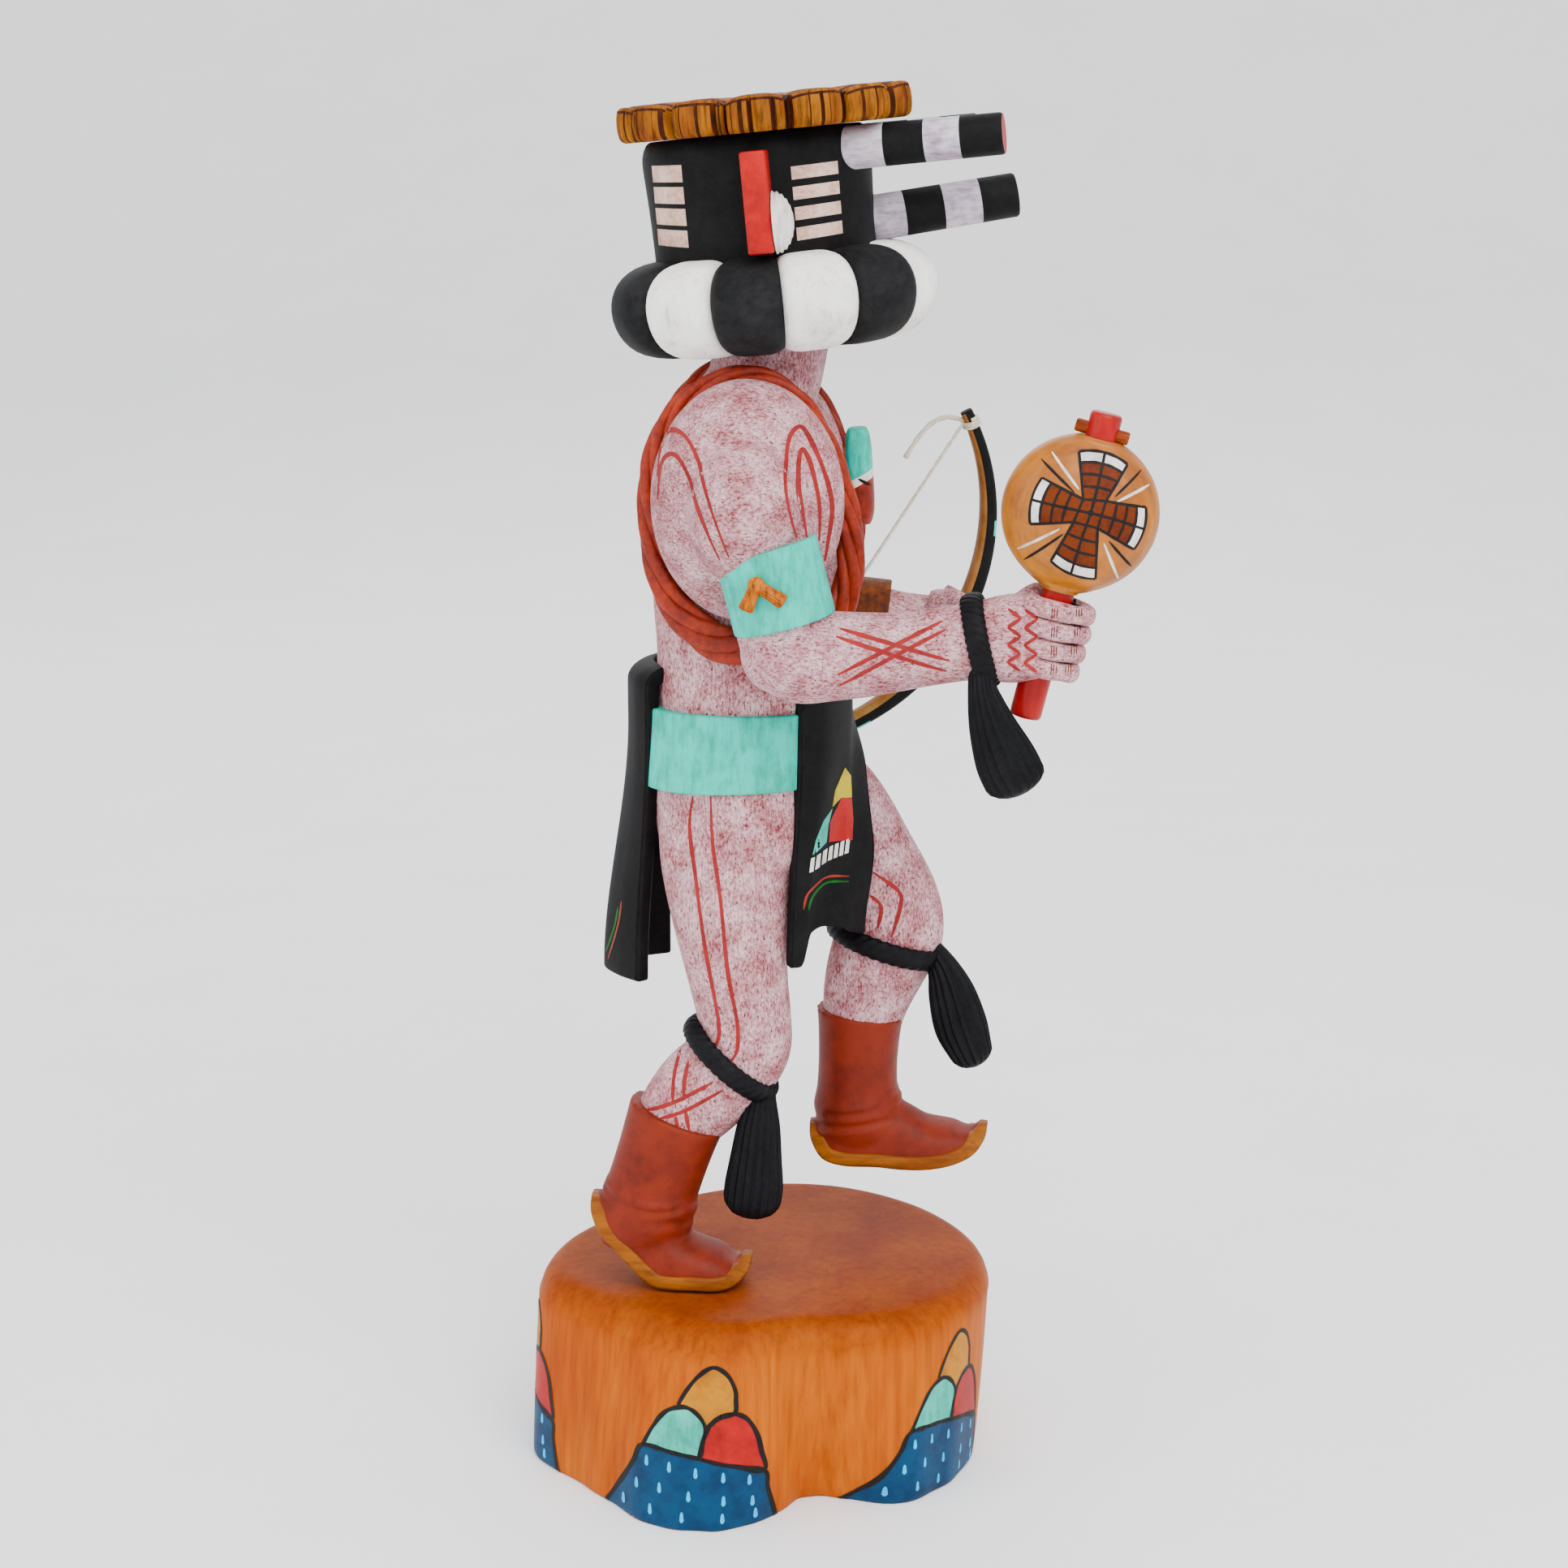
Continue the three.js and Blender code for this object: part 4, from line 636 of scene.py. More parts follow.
beltSettings = figureSettings["belt"]
build = bmesh.new()
rows = [torsoRow(beltSettings["top"] - beltSettings["high"] * share) for share in (0, 0.25, 0.5, 0.75, 1)]
bandOf(build, [[x - beltSettings["back"], y, z, wide, deep + beltSettings["more"], square]
        for x, y, z, wide, deep, square in rows],
    beltSettings["proud"], 96)
for vert in build.verts:
    vert.co.z += beltSettings["slant"] * (vert.co.x + 5 * mm)
finishPiece("figure_belt", build, "turquoise", ["figure"])

print("boots")
bootSettings = {
    "rightShaft": [
        [-24, -20, 50.8, 13.6, 14.6, 2.2], [-25.4, -20, 47, 13.2, 14.2, 2.2],
        [-28.2, -20, 38.5, 12.7, 13.7, 2.2], [-31.4, -20.3, 28.5, 12.6, 13.6, 2.2],
        [-32.2, -20.5, 25.2, 13.3, 14.4, 2.2], [-33, -20.6, 22, 12.7, 13.8, 2.2],
        [-34, -20.8, 18, 13, 14.6, 2.2], [-33.5, -21, 12, 11, 13, 2.2]],
    "rightFoot": [
        [-49.6, -20.5, 25.5, 3.5, 3.5], [-49.4, -20.5, 22, 8.6, 9.5], [-46.6, -20.5, 16, 11, 16.5],
        [-40.4, -20.8, 9.4, 11.6, 20], [-33.2, -21.2, 2.4, 12, 21.5], [-27.5, -21.5, 0, 12.4, 20],
        [-19, -21.8, 0, 12.8, 13.4], [-11, -22, 0, 12.4, 10.8], [-5.8, -22, 1.4, 10, 8.8],
        [-2.6, -22, 4.6, 6.4, 6.2], [-1.8, -22, 8.4, 2.4, 3.2]],
    "leftShaft": [
        [27.8, 17, 72.6, 12.6, 13.6, 2.2], [27.5, 17, 69, 12.1, 12.7, 2.2], [27, 17, 58, 11.6, 12, 2.2],
        [26.8, 17, 48.5, 11.6, 12.3, 2.2], [27, 17, 44, 12.4, 13.6, 2.2], [27.6, 17, 41, 11.9, 12.8, 2.2],
        [27.8, 17, 36.5, 12, 14.2, 2.2], [28, 17, 32, 10.5, 13.5, 2.2]],
    "leftFoot": [
        [12.4, 17, 37.2, 3, 3], [12.8, 17, 33.2, 8, 9], [16.4, 17, 27.8, 10.6, 15.3],
        [23.2, 17, 25.7, 11.2, 19.3], [33, 17, 25.6, 11.4, 20.3], [41, 17, 25.1, 11.8, 18.4],
        [49, 17, 25.4, 12, 14.6], [56.6, 17, 27, 11.6, 12.2], [62.6, 17, 29.8, 9.6, 9.4],
        [65.8, 17, 33.8, 6, 6.4], [66.6, 17, 37.8, 2.2, 2.8]],
    "rightWrinkles": [[(-44.5, 86.8), (-37.9, 84.0), (-29.6, 82.4), (-23.1, 82.6)]],
    "leftWrinkles": [
        [(18.7, 100.6), (28.9, 101.9), (38.0, 104.7)], [(14.6, 95.5), (24.5, 97.1), (36.2, 98.9)]],
    "soleThickness": 5.3, "soleProud": 0.8,
}


def upperShape(turn, size):
    wide, low, high = size
    u, v = math.cos(turn), math.sin(turn)
    return u * wide, (low + (high - low) * max(v, 0) ** 0.8 if v > 0 else low + 1.5 * mm * v), 0.0


def soleShape(turn, size):
    wide, thick = size
    u, v = pull(math.cos(turn), 5), pull(math.sin(turn), 5)
    return u * wide, thick / 2 * (1 + v), 0.0


def creased(piece, lines, depth=0.55, width=0.9):
    # Presses folds into the near side of a piece, along lines across and up.
    rows = [smoothRows(line, 8) for line in lines]
    for vert in piece.data.vertices:
        x, z = vert.co.x / mm, vert.co.z / mm
        for line in rows:
            near = min(math.dist((x, z), point) for point in line)
            if near < 4 * width:
                sink = math.exp(-(near / width) ** 2) - 0.45 * math.exp(-((near
                            - 2.1 * width) / width) ** 2)
                vert.co -= vert.normal * depth * sink * mm


def footPieces(label):
    smooth = smoothRows(bootSettings[label + "Foot"], 5)
    frames = framesAlong([onFigure(*row[:3]) for row in smooth], sideways)
    frames = [(point, way, across, front if front.z > 0 or abs(way.z) > 0.9 else -front)
        for point, way, across, front in frames]
    thick, proud = bootSettings["soleThickness"], bootSettings["soleProud"]
    build = bmesh.new()
    limb(build, bootSettings[label + "Shaft"], sides=44, steps=4, ends=(False, False))
    sweep(build, frames,
        [(max(row[3] - proud, row[3] * 0.6) * mm, min(thick, row[4] * 0.6) * 0.7 * mm, row[4] * mm)
            for row in smooth], 44, shape=upperShape)
    boot = fused(finishPiece(label + "_boot", build, "boot", ["figure"]), 0.8, 7)
    creased(boot, bootSettings[label + "Wrinkles"])
    build = bmesh.new()
    sweep(build, frames, [(row[3] * mm, min(thick, row[4] * 0.85) * mm) for row in smooth], 48,
        shape=soleShape)
    finishPiece(label + "_sole", build, "sole", ["figure"])


for label in ("right", "left"):
    footPieces(label)

print("arms and hands")
armSettings = {
    "shoulder": [
        [-2.4, -18, 233, 24.4, 31], [-2.2, -26, 233, 26.7, 33.5], [-2, -33, 233, 26.8, 33.8],
        [-1.8, -40, 232.5, 23.2, 29.5], [-1.4, -45, 231.5, 16, 21]],
    "setBack": 2.5,
    "rightUpper": [
        [1, -39, 234, 11, 14.5], [4, -42, 223, 11.5, 13.4], [6.5, -43.5, 210, 11.5, 12.8],
        [9.4, -44, 199, 11.6, 13.4], [10.5, -44, 193, 11.4, 12.6]],
    "leftUpper": [
        [0, 39, 234, 11, 14.5], [0.5, 42, 223, 11.5, 14], [0.5, 44.5, 210, 11.5, 14],
        [0.5, 46, 199, 11.6, 14.2], [0.5, 46, 193, 11.4, 13]],
    "rightFore": [
        [8.5, -44, 193, 11.5, 12], [14, -44, 191.8, 11.6, 13.2], [22, -44, 192, 11.2, 12.6],
        [32, -44.4, 192.6, 10.6, 11.8], [44, -45, 194, 9.6, 10.7], [55, -45.6, 196, 9, 10.6],
        [63, -46, 197.2, 8.8, 11], [71, -46.6, 198, 8.5, 12.2, 2.4], [77, -47.8, 198.8, 7.6, 11.8, 2.6],
        [80.6, -48.6, 199.2, 6.8, 11.2, 2.6]],
    "leftFore": [
        [-2, 46, 191, 11, 12], [6, 46.8, 190, 11.4, 12.8], [16, 47.8, 188.4, 11, 12],
        [26, 48.4, 187, 10.4, 11.4], [35, 48.6, 185.4, 9.2, 10.6], [41, 48.6, 184.2, 8.8, 11],
        [47, 48.6, 183, 7.6, 11.4, 2.6], [51, 48.2, 182.8, 6, 11, 2.6]],
    "rightBand": ([6.7, -43.4, 211.6, 13, 12.8], (0.25, 0, -0.97), 22),
    "leftBand": ([0.5, 44.2, 211, 11.5, 14.2], (0, 0, -1), 21),
    "cuff": ([26.5, 48.4, 187, 10.5, 11.4], (1, 0.03, -0.11), 14),
    "proud": 1.6,
}
bowSettings = {"length": 122, "depth": 35, "middle": (23.9, 35, 200.6), "chord": (0.542, 0, 0.84),
    "bulge": (0.805, 0.287, -0.519),
    "width": 6, "thick": 6.2, "string": 1, "tail": 22.5, "marks": ((0.46, 0.54), (-0.54, -0.46))}
rattleSettings = {"grip": (81.4, -45.6, 198.3), "tilt": 14, "drop": 22.7, "length": 86, "handle": 8.8,
    "rise": 35.5,
    "across": 43, "thick": 26, "peg": 3.6, "pegLength": 15}
chordWay = Vector(bowSettings["chord"]).normalized()
bulgeWay = Vector(bowSettings["bulge"]).normalized()


def bowAt(share):
    length, depth = bowSettings["length"], bowSettings["depth"]
    radius = (length ** 2 / 4 + depth ** 2) / (2 * depth)
    reach = math.asin(length / 2 / radius) * share
    bulge = bulgeWay * (radius * math.cos(reach) - radius + depth) * mm
    return onFigure(*bowSettings["middle"]) + chordWay * radius * math.sin(reach) * mm + bulge


tilt = math.radians(rattleSettings["tilt"])
rightGrip = (onFigure(*rattleSettings["grip"]), Vector((math.sin(tilt), 0, math.cos(tilt))))
leftGrip = (bowAt(0.02), (bowAt(0.04) - bowAt(0.0)).normalized())


def handWays(grip, out):
    way = grip[1]
    ahead = (Vector((1, 0, 0)) - way * way.x).normalized()
    outward = way.cross(ahead)
    return grip[0], way, ahead, outward * math.copysign(1, outward.y) * out


def fingersOn(build, grip, heldRadius, out):
    # Four fingers curled round what the hand holds.
    middle, way, ahead, outward = handWays(grip, out)
    reach = heldRadius + 0.3 + 2.6
    for step, length in zip((1.5, 0.5, -0.5, -1.5), (158, 172, 166, 148)):
        rise = middle + way * (step * 5.4 + 0.8) * mm + ahead * 1.4 * mm

        def onCurl(turn, far=reach):
            return rise + (outward * math.cos(math.radians(turn))
                + ahead * math.sin(math.radians(turn))) * far * mm

        spots = [onCurl(0) - ahead * 9 * mm - outward * 1.2 * mm, onCurl(0) - ahead * 4.5 * mm
            + outward * 0.3 * mm, onCurl(8, reach + 0.4)]
        spots += [onCurl(length * share, reach + (0.55 if share in (0.42, 0.8) else 0.1))
            for share in (0.25, 0.42, 0.6, 0.8, 1)]
        rows = smoothRows(spots, 4)
        frames = framesAlong([Vector(row) for row in rows], way)
        swell = [2.5, 2.6, 2.62, 2.36, 2.66, 2.5, 2.34, 2.6, 2.3]
        widths = smoothRows([[value] for value in swell[:len(spots)]], 4)
        sweep(build, frames, [(width[0] * 1.03 * mm, width[0] * mm, 2.5) for width in widths], 20)
        point, away, across, front = frames[-1]
        sweep(build, [(point + away * shift * mm, away, across, front) for shift in (-0.5, 0.8, 1.6, 2.1)],
            [(size * mm, size * mm, 2) for size in (2.2, 1.9, 1.2, 0.4)], 16)


def thumbOn(build, grip, heldRadius, out):
    middle, way, ahead, outward = handWays(grip, out)
    reach = heldRadius + 0.3 + 2.6
    spots = [middle + ahead * x * mm + outward * y * mm + way * z * mm
        for x, y, z in ((-9, 0, 5.5), (-reach * 0.82, -reach * 0.72, 10.2), (-1.5, -reach * 1.12, 10.6),
            (4, -reach * 1.05, 9.6))]
    rows = smoothRows(spots, 5)
    widths = smoothRows([[4.2], [3], [2.8], [1.8]], 5)
    sweep(build, framesAlong([Vector(row) for row in rows], way),
        [(w[0] * mm, w[0] * mm, 2) for w in widths], 18)


def armPieces(label, sign, grip, heldRadius):
    shoulder = [[x - (armSettings["setBack"] if sign > 0 else 0), -y * sign] + rest
        for x, y, *rest in armSettings["shoulder"]]
    build = bmesh.new()
    limb(build, shoulder, sides=56, steps=5, side=(1, 0, 0), ends=(False, True))
    limb(build, armSettings[label + "Upper"], sides=40)
    limb(build, armSettings[label + "Fore"], sides=40, ends=(True, False))
    thumbOn(build, grip, heldRadius, sign)
    arm = fused(finishPiece(label + "_arm_skin", build, "armSkin", [label + "_arm"]), 0.75, 6)
    build = bmesh.new()
    fingersOn(build, grip, heldRadius, sign)
    return arm, finishPiece(label + "_fingers", build, "armSkin", [label + "_arm"])


def armBand(name, finish, settings, nodes):
    (x, y, z, wide, deep), way, width = settings
    along = Vector(way).normalized() * width / 2
    rows = [[x + along.x * s, y + along.y * s, z + along.z * s, wide, deep, 2.0]
        for s in (-1, -0.5, 0, 0.5, 1)]
    build = bmesh.new()
    bandOf(build, rows, armSettings["proud"], 72, edge=0.6)
    return finishPiece(name, build, finish, nodes)


rightArm, rightFingers = armPieces("right", -1, rightGrip, rattleSettings["handle"] / 2)
leftArm, _ = armPieces("left", 1, leftGrip, bowSettings["width"] / 2)
armBand("right_armband", "turquoise", armSettings["rightBand"], ["right_arm"])
armBand("left_armband", "turquoise", armSettings["leftBand"], ["left_arm"])
armBand("left_cuff", "cuff", armSettings["cuff"], ["left_arm"])

print("head")
headSettings = {"lean": 5.5, "seat": (4.2, 0, 273.5), "mask": 64, "setBack": 1, "high": 60, "ruff": 93.5,
    "ruffHigh": 29,
    "lobes": [35.5, 30.5, 27, 29.5, 31.5, 30, 30, 29.5, 29, 29, 29, 29.5], "tube": 12, "eye": 44,
    "splay": 14, "mouth": 40.3, "turn": 8.5, "rise": 3.6}
headLean = Matrix.Rotation(math.radians(-headSettings["lean"]), 4, "Y")
headTurn = Matrix.Translation(onFigure(*headSettings["seat"])) @ headLean


def onHead(x, y, z):
    return headTurn @ (Vector((x, y, z)) * mm)


headWay = (onHead(0, 0, 1) - onHead(0, 0, 0)).normalized()
headAhead = (onHead(1, 0, 0) - onHead(0, 0, 0)).normalized()


def upright(heightsOnHead, back=0):
    return [(onHead(-back, 0, z), headWay, headAhead, sideways) for z in heightsOnHead]


radius, high = headSettings["mask"] / 2, headSettings["high"]
profile = smoothRows([[5, 0.975], [18, 0.98], [29, 0.98], [42, 0.992], [53, 1.01], [56.4, 1.0],
        [58.4, 0.975], [59.5, 0.95], [60, 0.92]], 4)
build = bmesh.new()
sweep(build, upright([z for z, _ in profile], headSettings["setBack"]),
    [(radius * share * mm, radius * share * mm, 2) for _, share in profile], 96)
mask = finishPiece("mask_barrel", build, "black", ["head"])

lobeEdges = [-175]
for width in headSettings["lobes"]:
    lobeEdges.append(lobeEdges[-1] + width)
build = bmesh.new()
outer, inner, half = headSettings["ruff"] / 2, headSettings["mask"] / 2 - 3, headSettings["ruffHigh"] / 2


def lobeShape(turn, full):
    # A section of one stuffed lobe: out from the mask, and up.
    swell = max(math.cos(turn), -0.15)
    out = (inner - 2) + (outer - inner + 2) * (abs(swell) ** 0.66 * math.copysign(1, swell)) * (0.8
        + 0.2 * full)
    up = half * math.sin(turn) * (0.9 + 0.1 * full) * (0.88 if math.sin(turn) > 0 else 1)
    return out * mm, up * mm, 0.0


for n, (start, end) in enumerate(zip(lobeEdges, lobeEdges[1:])):
    rings, sizes = [], []
    for k in range(17):
        share = 0.004 + 0.992 * k / 16
        angle = math.radians(start + (end - start) * share)
        out = Vector((math.cos(angle), math.sin(angle), 0))
        full = 1 - abs(2 * share - 1) ** 4.5
        middle = onHead(0, 0, half)
        rings.append((middle,
                (headTurn.to_3x3() @ Vector((-math.sin(angle), math.cos(angle), 0))).normalized(),
                (headTurn.to_3x3() @ out).normalized(), headWay))
        sizes.append(full)
    sweep(build, rings, sizes, 40, shape=lobeShape, material=n % 2)
ruff = finishPiece("head_ruff", build, ["ruffBlack", "ruffWhite"], ["head"])
for polygon in ruff.data.polygons:
    middle = headTurn.inverted() @ polygon.center
    angle = math.degrees(math.atan2(middle.y, middle.x))
    angle = angle + 360 if angle < -175 else angle
    lobe = max(i for i, edge in enumerate(lobeEdges[:-1]) if edge <= angle)
    polygon.material_index = lobe % 2

print("crown")
crownSettings = {"across": 84, "petals": 14, "forward": 2.4, "sides": 980, "cracks": 10}


def petalShare(turn):
    # How far along its petal an angle lies, and which petal that is.
    petal = (math.degrees(turn) - 1) / 360 * crownSettings["petals"]
    return petal - math.floor(petal), math.floor(petal) % crownSettings["petals"]


def barkCrack(turn):
    # How deep a split of the bark runs at an angle, from 0 to 1.
    share, petal = petalShare(turn)
    crack = 0.0
    for count, width, most in ((crownSettings["cracks"], 0.018, 0.45), (3, 0.05, 1.15)):
        for n in range(count):
            place = (n + 0.5 + 0.36 * math.sin(petal * 2.7 + n * 1.9)) / count
            depth = most * (0.6 + 0.4 * math.sin(petal * 1.3 + n * 4.1) ** 2)
            crack = max(crack, depth * (1 - abs(share - place) / width))
    return max(crack, 1 - min(share, 1 - share) / 0.045, 0.0)


def petalReach(share):
    return 0.915 + 0.085 * (1 - abs(2 * share - 1) ** 2.4)


def crownShape(turn, size):
    reach, rise, rough = size
    share, petal = petalShare(turn)
    arch = 1 - abs(2 * share - 1) ** 3.2
    notch = max(0.0, 1 - min(share, 1 - share) / 0.05)
    ripple = 0.5 + 0.5 * math.sin(share * 61 + petal * 2)
    full = petalReach(share) - 0.03 * notch - rough * (0.006 * ripple + 0.038 * barkCrack(turn))
    length = reach * full * crownSettings["across"] / 2 * mm
    return (crownSettings["forward"] * mm + length * math.cos(turn), length * math.sin(turn),
        rise * (arch * 1.5 - 0.5 - 0.9 * notch) * mm)


low = headSettings["high"] + 0.3
rows = [(0.6, 0.6, 0, 0), (0.95, 0.0, 0, 0.3), (0.975, 0.5, 0, 1), (0.99, 1.4, 0, 1), (0.998, 3, 0.2, 1.1),
    (1.0, 4.6, 0.5, 1),
    (0.997, 6.2, 0.8, 1.1), (0.99, 7.4, 1, 1), (0.984, 8.1, 1, 0.8), (0.968, 8.7, 1, 0.4),
    (0.945, 8.9, 1, 0.1), (0.93, 8.8, 1, 0), (0.9, 8.8, 1, 0), (0.885, 9.0, 1, 0), (0.8, 9.2, 0.9, 0),
    (0.6, 9.2, 0.6, 0), (0.35, 9.1, 0.2, 0), (0.1, 9.1, 0, 0)]
build = bmesh.new()
sweep(build, upright([low + z for _, z, _, _ in rows]),
    [(reach, rise, rough) for reach, _, rise, rough in rows],
    crownSettings["sides"], shape=crownShape)
crown = finishPiece("crown_disc", build, ["bark", "barkLinesAndCrackShade"], ["crown"])
headBack = headTurn.inverted()
for polygon in crown.data.polygons:
    spot = headBack @ polygon.center - Vector((crownSettings["forward"], 0, 0)) * mm
    turn = math.atan2(spot.y, spot.x)
    share, petal = petalShare(turn)
    reach = math.hypot(spot.x, spot.y) / (crownSettings["across"] / 2 * mm)
    high = spot.z / mm - low
    full = petalReach(share)
    edged = high > 8.4 and (reach / full > 0.885 and reach / full < 0.947)
    seam = high > 8.4 and reach > 0.3 and min(share, 1 - share) * reach < 0.035
    rimLine = 7.3 < high - 1.2 * (1 - abs(2 * share - 1) ** 3.2) < 7.9 and reach / full > 0.95
    # Dark bark takes the painted rim, inset and seam lines, and on the side the faces in deep cracks as
    # painted shade.
    polygon.material_index = 1 if edged or seam or rimLine or (high < 8.6 and barkCrack(turn) > 0.3) else 0

print("tubes and ears")
faceTurn = headTurn @ Matrix.Rotation(math.radians(headSettings["turn"]), 4, "Z")


def tubePiece(name, root, way, length, radius, stops, cap, node):
    # A banded tube: the stops are shares of its length where the band changes.
    start = faceTurn @ (Vector(root) * mm)
    straight = (faceTurn.to_3x3() @ Vector(way)).normalized()
    across = sideways - straight * straight.y
    frames, sizes, shares = [], [], []
    marks = sorted({0.0, 0.02, *stops, 0.985, 1.0})
    for share in marks:
        frames.append((start + straight * length * share * mm, straight, across.normalized(),
                straight.cross(across.normalized())))
        size = radius * (1 - 0.04 * share - (0.06 if share == 1 else 0)) * mm
        sizes.append((size, size, 2))
    build = bmesh.new()
    sweep(build, frames, sizes, 48)
    piece = finishPiece(name, build, ["tubePale", "black", cap], [node])
    for polygon in piece.data.polygons:
        share = (polygon.center - start).dot(straight) / (length * mm)
        if share > 0.9999:
            polygon.material_index = 2
            polygon.use_smooth = False
        else:
            polygon.material_index = sum(share > stop for stop in stops) % 2
    return piece


splay = math.radians(headSettings["splay"])
for label, sign in (("right", -1), ("left", 1)):
    length = headSettings["eye"] + 6
    tubePiece(label + "_eye", (16.8, sign * 16.5, 53.4), (math.cos(splay), sign * math.sin(splay), 0),
        length, headSettings["tube"] / 2,
        [0.34, 0.565, 0.765], "red", label + "_eye_tube")
rise = math.radians(headSettings["rise"])
tubePiece("mouth", (headSettings["mask"] / 2 - 5, 0, 32.9), (math.cos(rise), 0, math.sin(rise)),
    headSettings["mouth"] + 4,
    headSettings["tube"] * 0.54, [0.27, 0.52, 0.76], "black", "mouth_tube")



def domeShape(turn, size):
    return math.cos(turn) * size, math.sin(turn) * size, 0.0


earSettings = {"thick": 7, "reach": 11, "high": 26.4, "forward": 1.4, "dome": 8.6, "domeHigh": 5.3}
for label, sign in (("right", -1), ("left", 1)):
    build = bmesh.new()
    cube = bmesh.ops.create_cube(build, size=1.0)["verts"]
    thick, reach, tall = earSettings["thick"], earSettings["reach"] + 4, earSettings["high"] + 1.1
    edge = headSettings["mask"] / 2 + earSettings["reach"]
    middle = Vector((earSettings["forward"], sign * (edge - reach / 2), headSettings["ruffHigh"]
            + earSettings["high"] - tall / 2))
    bmesh.ops.scale(build, verts=cube, vec=Vector((thick, reach, tall)) * mm)
    bmesh.ops.bevel(build, geom=build.edges[:] + build.verts[:], offset=0.8 * mm, affect="EDGES",
        segments=3, profile=0.5, material=-1)
    bmesh.ops.translate(build, verts=build.verts, vec=middle * mm)
    bmesh.ops.transform(build, matrix=headTurn, verts=build.verts)
    finishPiece(label + "_ear_slab", build, "red", [label + "_ear"])

    build = bmesh.new()
    turns = [math.radians(value) for value in range(0, 88, 3)]
    x, y, z = earSettings["forward"] + thick / 2 + 0.3, sign * (edge - earSettings["dome"] + 1), (
        headSettings["ruffHigh"] + earSettings["dome"] - 1.8)
    sweep(build, [(onHead(x + earSettings["domeHigh"] * math.sin(turn), y, z), headAhead, sideways, headWay)
            for turn in turns],
        [earSettings["dome"] * (math.cos(turn) - 0.03 + 0.03 * math.cos(turn * 24)) * mm for turn in turns],
        60, shape=domeShape)
    finishPiece(label + "_ear_cap", build, "white", [label + "_ear_dome"])

print("yarn, pendant and flaps")
yarnSettings = {
    "route": [
        [-2, -29, 267.4, 3.4, 3], [12, -29.2, 260, 3.6, 3], [21.6, -28.4, 243, 3.8, 3.2],
        [26.4, -25.6, 221, 4, 3.4], [23.5, -27, 203, 4.4, 3.4], [10, -31.6, 194.8, 5.2, 3.4],
        [-8, -32.2, 192.6, 5.6, 3.4], [-22.6, -28.5, 203, 4.8, 3.4], [-28.7, -25.4, 222, 4.5, 3.5],
        [-27.9, -26.8, 244, 4.2, 3.3], [-19, -28.6, 260.6, 3.4, 3]],
    "strands": 5, "twists": 3,
}


def strandShape(turn, size):
    # A strand of the yarn, with its fine plies.
    wide, deep, place = size
    ridge = 1 + 0.045 * math.cos(5 * turn + 2 * math.pi * 24 * place)
    return math.cos(turn) * wide * ridge, math.sin(turn) * deep * ridge, 0.0


for label, sign in (("right", -1), ("left", 1)):
    back = armSettings["setBack"] if sign > 0 else 0
    rows = smoothLoop([[x - back, y * -sign, z, wide, thick]
            for x, y, z, wide, thick in yarnSettings["route"]], 14)
    spine = [onFigure(*row[:3]) for row in rows]
    build = bmesh.new()
    for strand in range(yarnSettings["strands"]):
        path, radii = [], []
        for i, (row, (_, way, out)) in enumerate(zip(rows,
                    framesRound(spine, lambda point: sideways * sign))):
            wideWay = way.cross(out)
            turn = 2 * math.pi * (strand / yarnSettings["strands"] + yarnSettings["twists"] * i / len(rows))
            path.append(spine[i] + wideWay * row[3] * 0.6 * math.cos(turn) * mm
                + out * row[4] * 0.6 * math.sin(turn) * mm)
            radii.append((row[3] * 0.41 * mm, row[4] * 0.41 * mm, i / len(rows)))
        frames = [(point, way, way.cross(out), out)
            for point, way, out in framesRound(path, lambda point: sideways * sign)]
        sweep(build, frames, radii, 20, shape=strandShape, closed=True)
    finishPiece(label + "_yarn", build, "yarn", [label + "_yarn_loop"])

pendantSettings = {"high": 27.6, "wide": 13, "thick": 7.5, "middle": (27.6, 0, 236.8)}
lean = Matrix.Translation(onFigure(*pendantSettings["middle"])) @ Matrix.Rotation(math.radians(-4), 4, "Y")
rows = smoothRows([[0, 0.6], [0.03, 0.76], [0.12, 0.94], [0.3, 1], [0.72, 1], [0.9, 0.92], [0.98, 0.76],
        [1, 0.6]], 16)


def pendantShape(turn, size):
    # A ring of the pendant, slanted like its band.
    thick, wide, slant = size
    a, b, _ = ovalShape(turn, (thick, wide, 3))
    return a, b, 0.5 * slant * a


build = bmesh.new()
leanWay = (lean.to_3x3() @ Vector((0, 0, 1))).normalized()
leanAhead = (lean.to_3x3() @ Vector((1, 0, 0))).normalized()
sweep(build, [(lean @ Vector((0, 0, (share - 0.5) * pendantSettings["high"] * mm)), leanWay, leanAhead,
            sideways) for share, _ in rows],
    [(pendantSettings["thick"] / 2 * size * mm, pendantSettings["wide"] / 2 * size * mm,
            max(0, 1 - abs(2.2 * share - 1)) ** 0.5)
        for share, size in rows], 56, shape=pendantShape)
pendant = finishPiece("pendant_bead", build, ["turquoise", "white", "yarn"],
    ["chest_pendant"])
for polygon in pendant.data.polygons:
    spot = (lean.inverted() @ polygon.center) / mm
    share = (spot.z - 0.49 * spot.x) / pendantSettings["high"] + 0.5
    polygon.material_index = 0 if share > 0.5 else 1 if share > 0.41 else 2

